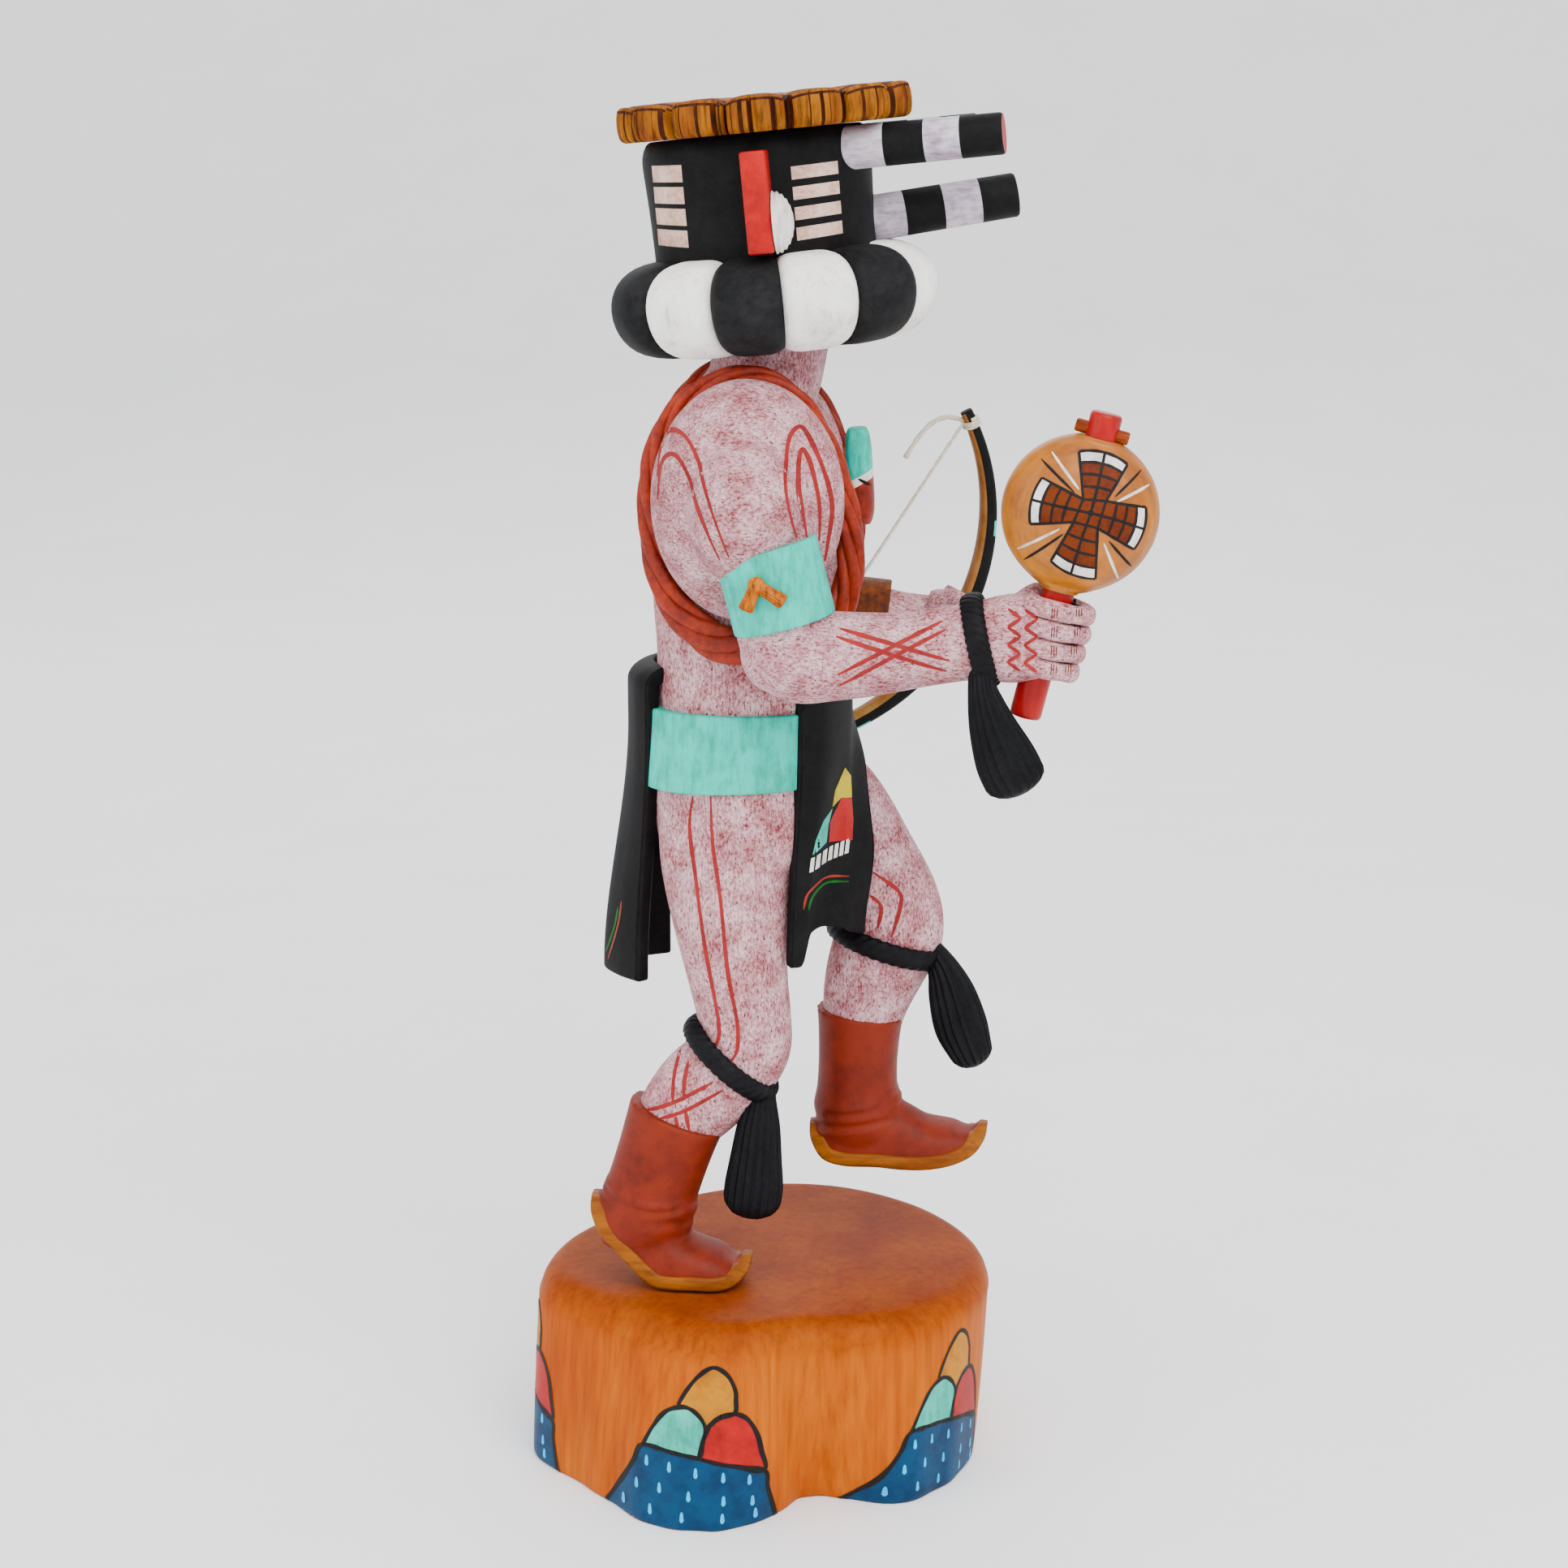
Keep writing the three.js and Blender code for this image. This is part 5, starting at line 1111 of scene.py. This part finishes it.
flapSettings = {
    "frontTop": [[12.2, -25.4], [19.4, -18.6], [24.2, -8], [25.8, 0], [23.6, 9.5]],
    "frontHem": [[9.4, -24.6], [14.8, -21.6], [18, -12.6], [26.4, -6.6], [30, 0.6]],
    "backTop": [[-32.2, -18.5], [-36.8, -12], [-40, -1], [-38.4, 10], [-32.6, 18.5]],
    "backHem": [[-36, -14.5], [-43.4, -7], [-48.6, 3.5], [-44, 15], [-32, 22.5]],
    "frontHeights": (182, 96.5), "backHeights": (183, 88.5), "thick": 4.2,
}


def smoothStep(low, high, value):
    t = min(max((value - low) / (high - low), 0.0), 1.0)
    return t * t * (3 - 2 * t)


def acrossSection(section, share):
    rows = smoothRows(section, 12)
    place = share * (len(rows) - 1)
    first = min(int(place), len(rows) - 2)
    return [a + (b - a) * (place - first) for a, b in zip(rows[first], rows[first + 1])]


def flapPiece(name, top, hem, heights, hemRise, node, swing=0.0):
    # A folded sheet: rolls over the belt, hangs, and flares to its hem.
    high, low = heights
    fold = 0.2
    build = bmesh.new()
    bmesh.ops.create_grid(build, x_segments=30, y_segments=44, size=1.0)
    thick = flapSettings["thick"]
    inner = {}
    for vert in build.verts:
        u, v = (vert.co.x + 1) / 2, (1 - vert.co.y) / 2
        upper, lower = acrossSection(top, u), acrossSection(hem, u)
        drop = max(v - fold, 0) / (1 - fold)
        blend = smoothStep(0.12, 1, drop)
        roll = math.radians(min(v / fold, 1) * 90)
        x = upper[0] + (lower[0] - upper[0]) * blend
        x += swing * smoothStep(0.72, 1, u) * smoothStep(0, 0.35, drop) * (1 - smoothStep(0.6, 1, drop))
        y = upper[1] + (lower[1] - upper[1]) * smoothStep(0, 0.8, drop)
        tuck = (1 - math.sin(roll)) * 8 / math.hypot(x + 3.5, y)
        z = high - 6 * (1 - math.cos(roll)) - (high - 6 - low - hemRise(u)) * drop
        vert.co = onFigure(x - (x + 3.5) * tuck, y * (1 - tuck), z)
    bmesh.ops.recalc_face_normals(build, faces=build.faces)
    outside = sum((face.normal.x * face.calc_center_median().x for face in build.faces))
    if outside < 0:
        bmesh.ops.reverse_faces(build, faces=build.faces)
    bmesh.ops.solidify(build, geom=build.faces[:], thickness=thick * mm)
    rim = [edge for edge in build.edges if len(edge.link_faces) == 2 and edge.calc_face_angle(0) > 1.0]
    bmesh.ops.bevel(build, geom=rim, offset=0.9 * mm, affect="EDGES", segments=3, profile=0.5, material=-1)
    return finishPiece(name, build, "black", [node])


frontFlap = flapPiece("front_apron", flapSettings["frontTop"], flapSettings["frontHem"],
    flapSettings["frontHeights"],
    lambda u: 9.5 * smoothStep(0.16, 0.3, u) - 5 * smoothStep(0.5, 1, u), "front_flap", 5)
backFlap = flapPiece("back_apron", flapSettings["backTop"], flapSettings["backHem"],
    flapSettings["backHeights"], lambda u: 0.0, "back_flap")

print("ties and tassels")
tieSettings = {
    "rightKnee": {"middle": (-8.4, -18.2, 67.4), "way": (-0.66, 0, -0.75), "wide": 12.8, "deep": 14.8,
        "tassel": [[1.2, -21.5, 60.5, 3.4, 3.6], [0.9, -23, 56, 3.4, 4.2], [0.2, -24, 49, 4.4, 5.8],
            [-0.6, -24.4, 39, 5.4, 7],
            [-1.2, -24.4, 31, 6, 7.9], [-1.8, -24.2, 26, 5.8, 7.9]]},
    "leftKnee": {"middle": (35.2, 17, 94.6), "way": (-0.3, 0, -0.95), "wide": 13.6, "deep": 16.2,
        "tassel": [[49.4, 14, 92.4, 3.4, 3.4], [52.8, 11.4, 87, 3.8, 4.8], [55.4, 9.8, 80, 4.6, 6.6],
            [58.2, 9, 70.5, 5.2, 7.4],
            [61.2, 9, 62.8, 5, 6.2]]},
    "rightWrist": {"middle": (63.4, -45.9, 197.2), "way": (0.97, -0.04, 0.22), "wide": 8.9, "deep": 11.2,
        "tassel": [[63.8, -51, 189, 3.4, 3.4], [64.4, -52.6, 184, 3.6, 4], [67, -53, 175, 4.4, 6],
            [70.6, -53, 166, 5, 7.8],
            [73.4, -52.8, 160, 4.8, 8]]},
    "wide": 3.25, "thick": 1.9, "strandTurns": 34,
}


def tasselShape(turn, size):
    wide, deep, groove = size
    ridge = 1 + groove * (0.075 * math.cos(turn * 17 + 0.6 * math.sin(turn * 3))
        + 0.03 * math.cos(turn * 29 + 1))
    return math.cos(turn) * wide * ridge, math.sin(turn) * deep * ridge, 0.0


def ropeShape(turn, place):
    # Strands laid round each other, with fine yarns.
    lay = 4 * turn + 2 * math.pi * tieSettings["strandTurns"] * place
    ridge = 0.97 + 0.05 * math.cos(lay) + 0.012 * math.cos(3 * lay)
    return (math.cos(turn) * tieSettings["wide"] * ridge * mm,
        math.sin(turn) * tieSettings["thick"] * ridge * mm, 0.0)


for label, node in (("rightKnee", "right_knee_tie"), ("leftKnee", "left_knee_tie"),
        ("rightWrist", "right_wrist_tie")):
    tie = tieSettings[label]
    straight = Vector(tie["way"]).normalized()
    middle = onFigure(*tie["middle"])
    across = (sideways - straight * straight.y).normalized()
    front = straight.cross(across)
    build = bmesh.new()
    count = 420
    path = [middle + across * math.cos(turn) * (tie["wide"] + 0.5) * mm
        + front * math.sin(turn) * (tie["deep"] + 0.5) * mm
        for turn in (2 * math.pi * i / count for i in range(count))]
    frames = [(point, way, straight, out)
        for point, way, out in framesRound(path, lambda point: (point - middle).normalized())]
    sweep(build, frames, [i / count for i in range(count)], 30, shape=ropeShape, closed=True)
    rows = smoothRows(tie["tassel"], 7)
    frames = framesAlong([onFigure(*row[:3]) for row in rows], sideways)
    sizes = [(row[3] * mm, row[4] * mm, min(1.0, 0.25 + i / 12)) for i, row in enumerate(rows)]
    for sign in (-1, 1):
        frames, sizes = roundEnd(frames, sizes, sign, (20, 40, 58, 74, 85), fade=True)
    sweep(build, frames, sizes, 110, shape=tasselShape)
    finishPiece(node + "_rope", build, "cord", [node])

print("rattle and bow")
gripMiddle, gripWay = rightGrip
gripAcross = sideways
gripFront = gripWay.cross(gripAcross)
gripWays = (gripWay, gripAcross, gripFront)
handleRadius = rattleSettings["handle"] / 2
build = bmesh.new()
start = gripMiddle - gripWay * rattleSettings["drop"] * mm
length = rattleSettings["length"]
marks = [(0, 0.9), (0.5, 0.98), (1.2, 1.0)] + [(x, 1.0) for x in range(6, 80, 6)] + [
    (length - 1.2, 1.0), (length - 0.4, 0.97), (length, 0.88)]
sweep(build, straightFrames(start, gripWays, [z for z, _ in marks]),
    [(handleRadius * share * mm, handleRadius * share * mm, 2) for _, share in marks], 40)
finishPiece("rattle_stick", build, "handleRed", ["rattle_handle"])
gourdMiddle = gripMiddle + gripWay * rattleSettings["rise"] * mm
half = rattleSettings["across"] / 2
rows = smoothRows([[-1.02, 0.2], [-0.985, 0.28], [-0.93, 0.4], [-0.8, 0.6], [-0.62, 0.785], [-0.42, 0.907],
        [-0.2, 0.98], [0, 1], [0.2, 0.98], [0.42, 0.907], [0.62, 0.785], [0.8, 0.6],
        [0.92, 0.4], [0.97, 0.26]], 4)
neck = handleRadius + 0.8
build = bmesh.new()
sweep(build, [(gourdMiddle + gripWay * along * half * mm, *gripWays) for along, _ in rows],
    [(max(rattleSettings["thick"] / 2 * size, neck) * mm, max(half * size, neck) * mm, 2.15)
        for _, size in rows], 84)
gourd = finishPiece("rattle_bulb", build, "gourd", ["rattle_gourd"])
build = bmesh.new()
pegWay = Vector((0.96, -0.06, -0.27)).normalized()
pegMiddle = gourdMiddle + gripWay * (half + 1.2) * mm
pegAcross = (sideways - pegWay * pegWay.y).normalized()
pegHalf, pegRadius = rattleSettings["pegLength"] / 2, rattleSettings["peg"] / 2
sweep(build, straightFrames(pegMiddle, (pegWay, pegAcross, pegWay.cross(pegAcross)),
        (-pegHalf, -pegHalf + 0.4, -3, 0, 3, pegHalf - 0.4, pegHalf)),
    [(pegRadius * share * mm, pegRadius * share * mm, 2.4) for share in (0.8, 1, 1.02, 0.98, 1.02, 1, 0.8)],
    24)
finishPiece("rattle_pin", build, "brown", ["rattle_peg"])

shares = [-1 + i / 32 for i in range(65)]
bowSide = chordWay.cross(bulgeWay)
frames = framesAlong([bowAt(share) for share in shares], bowSide)
build = bmesh.new()
sweep(build, frames, [(bowSettings["width"] / 2 * (1 - 0.42 * share ** 4) * mm,
            bowSettings["thick"] / 2 * (1 - 0.42 * abs(share) ** 1.5) * mm, 3) for share in shares], 28)
bow = finishPiece("bow_stave", build, ["black", "tan", "turquoise"], ["bow"])
bowRadius = (bowSettings["length"] ** 2 / 4 + bowSettings["depth"] ** 2) / (2 * bowSettings["depth"]) * mm
bowMiddle = onFigure(*bowSettings["middle"]) + bulgeWay * (bowSettings["depth"] * mm - bowRadius)
for polygon in bow.data.polygons:
    spot = polygon.center - bowMiddle
    out = math.hypot(spot.dot(chordWay), spot.dot(bulgeWay)) - bowRadius
    share = math.atan2(spot.dot(chordWay),
        spot.dot(bulgeWay)) / math.asin(bowSettings["length"] / 2 * mm / bowRadius)
    marked = any(low < share < high for low, high in bowSettings["marks"])
    half = bowSettings["thick"] / 2 * (1 - 0.42 * abs(share) ** 1.5) * mm
    polygon.material_index = 1 if out < -0.42 * half else 2 if marked and out > 0.5 * half else 0

build = bmesh.new()
clear = bowSettings["thick"] * 0.36 + bowSettings["string"] / 2 + 0.3
topNock, lowNock = (bowAt(share) - bulgeWay * clear * mm for share in (0.93, -0.93))


def twineShape(turn, size):
    lay, wide = size
    ridge = 1 + 0.14 * math.cos(2 * turn + lay)
    return math.cos(turn) * 0.5 * wide * ridge * mm, math.sin(turn) * 0.5 * ridge * mm, 0.0


path = [lowNock.lerp(topNock, i / 140) for i in range(141)]
sweep(build, framesAlong(path, bowSide), [(i * 1.1, 1) for i in range(141)], 10, shape=twineShape)
coil = []
for i in range(97):
    share, turn = 0.93 + 0.035 * i / 96, 2 * math.pi * 2.5 * i / 96
    away = (bowAt(share) - bowMiddle).normalized()
    size = 1 - 0.42 * share ** 4
    coil.append(bowAt(share) + bowSide * math.cos(turn) * (3 * size + 0.4) * mm
        + away * math.sin(turn) * (2.8 * size + 0.4) * mm)
sweep(build, framesAlong(coil, chordWay), [(i * 0.4, 1.3) for i in range(97)], 10, shape=twineShape)
tail = bowSettings["tail"]
path = [topNock
    + Vector((-0.78 * share, 0.1 * share, 0.12 * math.sin(share * math.pi) - 0.5 * share ** 2)) * tail * mm
    for share in [i / 30 for i in range(31)]]
sweep(build, framesAlong(path, Vector((0, 0, 1))), [(i * 1.1, 1.5) for i in range(31)], 10,
    shape=twineShape)
finishPiece("bow_twine", build, "twine", ["bowstring"])

print("knots")
for label, place, sign in (("right", (2.8, -59, 213.8), -1), ("left", (-2, 60, 213), 1)):
    build = bmesh.new()
    middle = onFigure(*place)
    for x, z in ((-0.32, -0.78), (0.86, -0.5)):
        way = Vector((x * 9, 0.6 * sign, z * 9))
        rows = [(-0.1, 1.5), (0.2, 1.7), (0.55, 1.75), (0.85, 2.0), (0.96, 1.9), (1.0, 1.3)]
        frames = framesAlong([middle + way * share * mm for share, _ in rows], sideways)
        sweep(build, frames, [(size * mm, size * mm, 1.6) for _, size in rows], 48, shape=tasselShape)
    bmesh.ops.create_uvsphere(build, u_segments=24, v_segments=16, radius=2.4 * mm,
        matrix=Matrix.Translation(middle))
    finishPiece(label + "_knot", build, "knot", [label + "_armband_knot"])

print("painted marks")
lineWidth = 1.15
skinMarks = {
    "shoulderLines": [
        [(-4.7, 279.4), (-13.0, 302.6), (-17.2, 310.1), (-22.0, 311.7), (-25.4, 308.5), (-26.3, 298.9)],
        [(-7.3, 278.3), (-12.6, 290.8), (-17.7, 302.3), (-21.4, 305.7), (-25.0, 302.7), (-26.1, 292.7)],
        [(13.1, 284.0), (10.4, 298.1), (10.4, 309.0), (12.5, 313.1), (15.1, 311.7), (19.7, 301.6),
            (22.0, 291.3), (20.8, 280.9), (19.8, 275.4)], [(15.7, 283.6), (13.4, 297.2), (13.5, 305.8),
            (14.6, 307.2), (16.8, 301.9), (18.7, 291.6), (18.5, 281.5)],
    ],
    "forearmLines": [
        [(25.2, 259.3), (40.0, 255.5), (55.3, 251.2)], [(24.1, 257.4), (39.0, 252.9), (54.5, 248.1)],
        [(24.7, 247.0), (39.0, 254.6), (53.1, 261.8)], [(25.0, 243.7), (39.5, 252.0), (54.0, 259.7)],
    ],
    "zigzags": {"places": (72.7, 77.2), "top": 265.6, "bottom": 248.8, "swing": 3.6, "turns": 7},
    "thighLines": [
        [(-18.3, 206.1), (-19.3, 196.8), (-17.5, 182.5), (-14.9, 162.5), (-11.7, 144.4), (-10.9, 138.5),
            (-11.2, 134.2), (-13.2, 130.6)], [(-13.0, 206.4), (-12.5, 192.8), (-10.2, 176.3), (-8.3, 156.2),
            (-6.3, 144.9), (-5.3, 138.4), (-5.6, 131.4), (-8.5, 126.9)],
    ],
    "calfLines": [
        [(-22.9, 129.1), (-24.2, 122.4), (-24.3, 115.7)], [(-20.0, 127.1), (-20.9, 122.3), (-21.1, 117.6)],
        [(-32.1, 112.1), (-23.4, 115.9), (-12.5, 122.1)], [(-28.0, 110.6), (-20.5, 113.5), (-9.6, 119.8)],
        [(-23.4, 111.6), (-22.9, 108.1)], [(-20.5, 113.5), (-19.5, 107.4)],
    ],
    "leftThighLines": [
        [(31.9, 177.4), (39.3, 171.5), (40.0, 166.8), (37.4, 157.3)],
        [(31.0, 170.3), (34.3, 166.8), (33.3, 160.0)],
    ],
}


def strokes(lines, width=lineWidth):
    return [strokeOutline(line, width) for line in lines]


def shifted(lines, dx, dz=0.0):
    return [[(x + dx, z + dz) for x, z in line] for line in lines]


zigzag = skinMarks["zigzags"]
zigzagLines = []
for place in zigzag["places"]:
    for n in range(zigzag["turns"]):
        ends = []
        for step in (n, n + 1):
            height = zigzag["top"] + (zigzag["bottom"] - zigzag["top"]) * step / zigzag["turns"]
            ends.append((place + zigzag["swing"] * (1 if step % 2 else -1) / 2, height))
        zigzagLines.append(ends)
bodyTree = treeOf(body)
rightTree = treeOf(rightArm, rightFingers)
leftTree = treeOf(leftArm)
legLines = skinMarks["thighLines"] + skinMarks["calfLines"]
paintOn("figure_leg_lines", bodyTree, "redLine",
    strokes(legLines + skinMarks["leftThighLines"]))
paintOn("right_shoulder_lines", rightTree, "redLine", strokes(skinMarks["shoulderLines"]))
paintOn("right_forearm_lines", rightTree, "redLine", strokes(skinMarks["forearmLines"])
    + strokes(zigzagLines, 1), grid=0.9)
back = armSettings["setBack"]
leftShoulderLines = [[(max(x, -16) * 0.8 - back, z) for x, z in line]
    for line in skinMarks["shoulderLines"]]
paintOn("left_shoulder_lines", leftTree, "redLine",
    mirroredShapes(strokes(leftShoulderLines)), heading=180)
paintOn("pendant_dash", treeOf(pendant), "outline",
    strokes([[(27.5, 294.9), (31.0, 292.9)]], 0.9))
# Thin dark strokes across the finger joints: painted shade in the knuckle creases.
creaseShadeStrokes = [[(place + step, middle - 1.6), (place + step + 0.15, middle + 1.5)]
    for place, ahead in ((83.4, 0), (90, 1))
    for middle, less in ((265.2, 0), (259.8, 0.3), (254.6, 1.1), (249.4, 2.6))
    for step in (-0.7 - ahead * less, -ahead * less, 0.7 - ahead * less)]
paintOn("right_finger_crease_shade", rightTree, "feather", strokes(creaseShadeStrokes, 0.28), lift=0.05,
    grid=0.8)
leftForeLines = [[(x * 0.42 - 3.5, z - 1.5) for x, z in line] for line in skinMarks["forearmLines"]]
paintOn("left_forearm_lines", leftTree, "redLine", mirroredShapes(strokes(leftForeLines)),
    heading=180)

maskMarks = {
    "back": ((-29.7, 382.5), (-20.4, 383), (-28.3, 360.7), (-18.6, 360.6)),
    "front": ((9.9, 382.7), (22.1, 384.1), (11.7, 362.8), (23.6, 364.5)),
    "rows": 4,
}


def oblongs(corners, gap):
    (ax, az), (bx, bz), (cx, cz), (dx, dz) = corners
    count = maskMarks["rows"]
    shapes = []
    for n in range(count):
        upper = n / (count - gap)
        lower = (n + 1 - gap) / (count - gap)
        (first, second), (fourth, third) = [
            ((ax + (cx - ax) * share, az + (cz - az) * share),
                (bx + (dx - bx) * share, bz + (dz - bz) * share))
            for share in (upper, lower)]
        shapes.append([first, second, third, fourth])
    return shapes


maskTree = treeOf(mask)
markShapes = oblongs(maskMarks["back"], 0.22) + oblongs(maskMarks["front"], 0.36)
paintOn("right_mask_marks", maskTree, "cream", markShapes)
paintOn("left_mask_marks", maskTree, "cream", mirroredShapes(markShapes), heading=180)

cloudMotif = {
    "middle": -16.6,
    "skirt": [(-39.8, 4.6), (-36.6, 10.2), (-33.2, 16.6), (-30.2, 22.3), (-21.5, 22.3), (-13.6, 21.3),
        (-4.0, 19.0), (4.7, 15.7), (5.7, 9.9), (7.0, 3.9),
        (7.6, 0.3), (-10.0, 0.3), (-30.0, 0.3), (-42.4, 0.3)],
    "turquoise": [(-30.2, 22.3), (-27.5, 27.7), (-24.2, 32.5), (-20.8, 34.9), (-16.8, 35.5), (-13.5, 33.5),
        (-11.6, 30.2), (-12.2, 26.0), (-13.6, 21.3), (-21.5, 22.3)],
    "yellow": [(-19.7, 35.8), (-17.3, 40.2), (-13.7, 44.8), (-9.4, 47.6), (-5.5, 45.6), (-3.3, 41.4),
        (-3.0, 37.9), (-3.4, 34.4), (-8.0, 33.0), (-11.6, 30.2), (-13.5, 33.5), (-16.8, 35.5)],
    "red": [(-13.6, 21.3), (-11.9, 27.4), (-9.1, 32.4), (-4.2, 34.3), (-0.1, 32.5), (2.7, 27.6),
        (4.0, 21.9), (4.7, 15.7), (-4.0, 19.0)],
    "drops": [(-28.9, 18.3), (-22.0, 18.0), (-14.3, 17.0), (-6.4, 15.9), (0.8, 14.1), (-32.0, 11.0),
        (-24.9, 11.5), (-16.3, 10.2), (-6.3, 9.1), (1.6, 7.6),
        (-36.3, 4.4), (-27.7, 4.8), (-18.2, 4.1), (-6.6, 4.0), (2.4, 3.6)],
    # heading and middle of each side's marks
    "sides": [(0, -16.6), (50, 8.0), (-92, 11.0), (150, 6.0), (215, 0.0)],
}
baseTree = treeOf(base)


def domeLine(points):
    return strokeOutline(points, 1.25, 0.8)


def closedLine(points):
    return domeLine(points + [points[0]])


def dropOutline(x, z):
    turns = [2 * math.pi * n / 10 for n in range(10)]
    return [(x + 0.75 * math.cos(turn) * (1 if math.sin(turn) < 0 else 0.7), z + 1.6 * math.sin(turn))
        for turn in turns]


for n, (heading, middle) in enumerate(cloudMotif["sides"]):
    dx = middle - cloudMotif["middle"]
    for part, finish in (("skirt", "blue"), ("turquoise", "pale"), ("yellow", "yellow"), ("red", "red")):
        paintOn(f"base_cloud_{n}_{part}", baseTree, finish, shifted([cloudMotif[part]], dx),
            heading=heading, lift=0.12, grid=1.3)
    lines = [closedLine(cloudMotif[part]) for part in ("turquoise", "yellow", "red")]
    lines.append(domeLine(cloudMotif["skirt"][-1:] + cloudMotif["skirt"][:11]))
    paintOn(f"base_cloud_{n}_outlines", baseTree, "outline", shifted(lines, dx),
        heading=heading, lift=0.2, grid=1.5)
    paintOn(f"base_cloud_{n}_drops", baseTree, "rain",
        shifted([dropOutline(*spot) for spot in cloudMotif["drops"]], dx),
        heading=heading, lift=0.18, grid=1.5)

crossSettings = {
    "middle": (92.6, 292.6),
    "fans": [((89.2, 308.7), (102.3, 305.2), 0, 1), ((79.3, 301.7), (76.3, 289.2), 0, 3),
        ((107.5, 293.7), (104.6, 282.3), 1, 2),
        ((82.1, 279.0), (94.3, 273.9), 3, 2)],  # two far corners and the two roots they run to
    "roots": [(90.5, 296.3), (96.6, 295.8), (94.5, 288.6), (88.1, 290.2)],
    "whiteStrokes": [[(82.0, 308.2), (89.3, 298.9)], [(108.2, 299.5), (99.4, 295.5)],
        [(73.1, 281.9), (84.3, 288.2)], [(96.3, 284.4), (100.5, 273.9)]],
    "blackStrokes": [[(79.2, 306.3), (88.1, 298.1)], [(106.0, 303.4), (99.0, 296.9)],
        [(75.0, 279.0), (85.4, 286.9)], [(97.6, 285.0), (104.0, 277.3)]],
    "arcs": (0.0, 0.27, 0.52, 0.76), "tip": 0.76,
}


def fanPoint(middle, first, second, roots, out, along):
    # A point of a fan: out from its root, and along its arc.
    turn = [math.atan2(corner[1] - middle[1], corner[0] - middle[0]) for corner in (first, second)]
    swing = (turn[1] - turn[0] + math.pi) % (2 * math.pi) - math.pi
    reach = [math.dist(corner, middle) for corner in (first, second)]
    angle = turn[0] + swing * along
    length = reach[0] + (reach[1] - reach[0]) * along
    ends = [(a + (b - a) * along, m + length * part) for a, b, m, part in
        zip(roots[0], roots[1], middle, (math.cos(angle), math.sin(angle)))]
    return tuple(root + (tip - root) * out for root, tip in ends)


gourdTree = treeOf(gourd)
crossMiddle = crossSettings["middle"]
roots = crossSettings["roots"]
brown, tips, outlines = [list(roots)], [], []
for first, second, rootFirst, rootSecond in crossSettings["fans"]:
    def spot(out, along):
        return fanPoint(crossMiddle, first, second, (roots[rootFirst], roots[rootSecond]), out, along)

    def arc(out, start=0.0, end=1.0, wave=0.0):
        return [spot(out + wave * math.sin(start * 9 + 25 * n / 8), start + (end - start) * n / 8)
            for n in range(9)]

    brown.append(arc(0) + arc(crossSettings["tip"])[::-1])
    tips.append(arc(crossSettings["tip"], wave=0.03) + arc(0.97)[::-1])
    outlines += [strokeOutline(arc(share, wave=0.015), 0.7, 0.9) for share in crossSettings["arcs"]]
    outlines += [strokeOutline(line, 0.75, 0.9) for line in (
            [spot(0, 0), spot(0.5, 0), spot(0.98, 0)], [spot(0, 1), spot(0.5, 1), spot(0.98, 1)],
            [crossMiddle, spot(0.3, 0.5), spot(0.98, 0.5)], arc(0.98))]
outlines.append([(crossMiddle[0] + 0.9 * math.cos(turn), crossMiddle[1] + 0.9 * math.sin(turn))
        for turn in [math.radians(36 * n) for n in range(10)]])
whiteStrokes = strokes(crossSettings["whiteStrokes"], 0.75)
blackStrokes = strokes(crossSettings["blackStrokes"], 0.75)


for label, heading, turned in (("near", 0, lambda shapes: shapes), ("far", 180, mirroredShapes)):
    paintOn(f"gourd_feathers_{label}", gourdTree, "feather", turned(brown), heading=heading,
        lift=0.05)
    paintOn(f"gourd_tips_{label}", gourdTree, "white", turned(tips + whiteStrokes),
        heading=heading, lift=0.08)
    paintOn(f"gourd_lines_{label}", gourdTree, "outline", turned(outlines + blackStrokes),
        heading=heading, lift=0.12, grid=0.9)

apronMarks = {
    "yellow": [(24.1, 211.1), (25.6, 208.0), (25.9, 201.5), (23.2, 202.4), (20.8, 200.6), (21.6, 205.5)],
    "turquoise": [(20.8, 200.2), (18.6, 197.6), (16.6, 192.6), (15.7, 188.3), (19.2, 190.3), (19.8, 195.6)],
    "red": [(23.2, 202.4), (25.9, 201.3), (26.4, 195.0), (26.2, 189.1), (19.8, 190.0), (20.2, 196.4)],
    "ticks": {"from": (14.8, 183.2), "to": (25.6, 185.8), "count": 7, "high": 4.4},
    "arch": [[(13.2, 172.4), (14.6, 177.2), (19.0, 179.4), (25.4, 178.6)],
        [(14.6, 172.0), (15.8, 175.8), (19.4, 177.7), (25.4, 177.0)]],
    "back": [[(-41.6, 169.7), (-42.9, 162.0), (-46.6, 150.4)],
        [(-42.8, 167.6), (-44.2, 161.0), (-47.4, 152.2)]],
}
frontTree = treeOf(frontFlap)
backTree = treeOf(backFlap)
for part, finish in (("yellow", "lemon"), ("turquoise", "pale"), ("red", "red")):
    paintOn("apron_" + part, frontTree, finish, [apronMarks[part]], lift=0.06)
ticks = apronMarks["ticks"]
tickShapes = []
for n in range(ticks["count"]):
    share = n / ticks["count"]
    x = ticks["from"][0] + (ticks["to"][0] - ticks["from"][0]) * share
    z = ticks["from"][1] + (ticks["to"][1] - ticks["from"][1]) * share
    tickShapes.append([(x, z), (x + 1.1, z + 0.2), (x + 1.5, z + ticks["high"]),
            (x + 0.5, z + ticks["high"] - 0.2)])
paintOn("apron_ticks", frontTree, "white", tickShapes, lift=0.06)
for name, tree, part, width in (("apron_arch", frontTree, "arch", 0.7),
        ("back_apron", backTree, "back", 0.6)):
    for line, colour, finish in zip(apronMarks[part], ("red", "green"), ("yarn", "green")):
        paintOn(f"{name}_{colour}", tree, finish, strokes([line], width))

print("done")
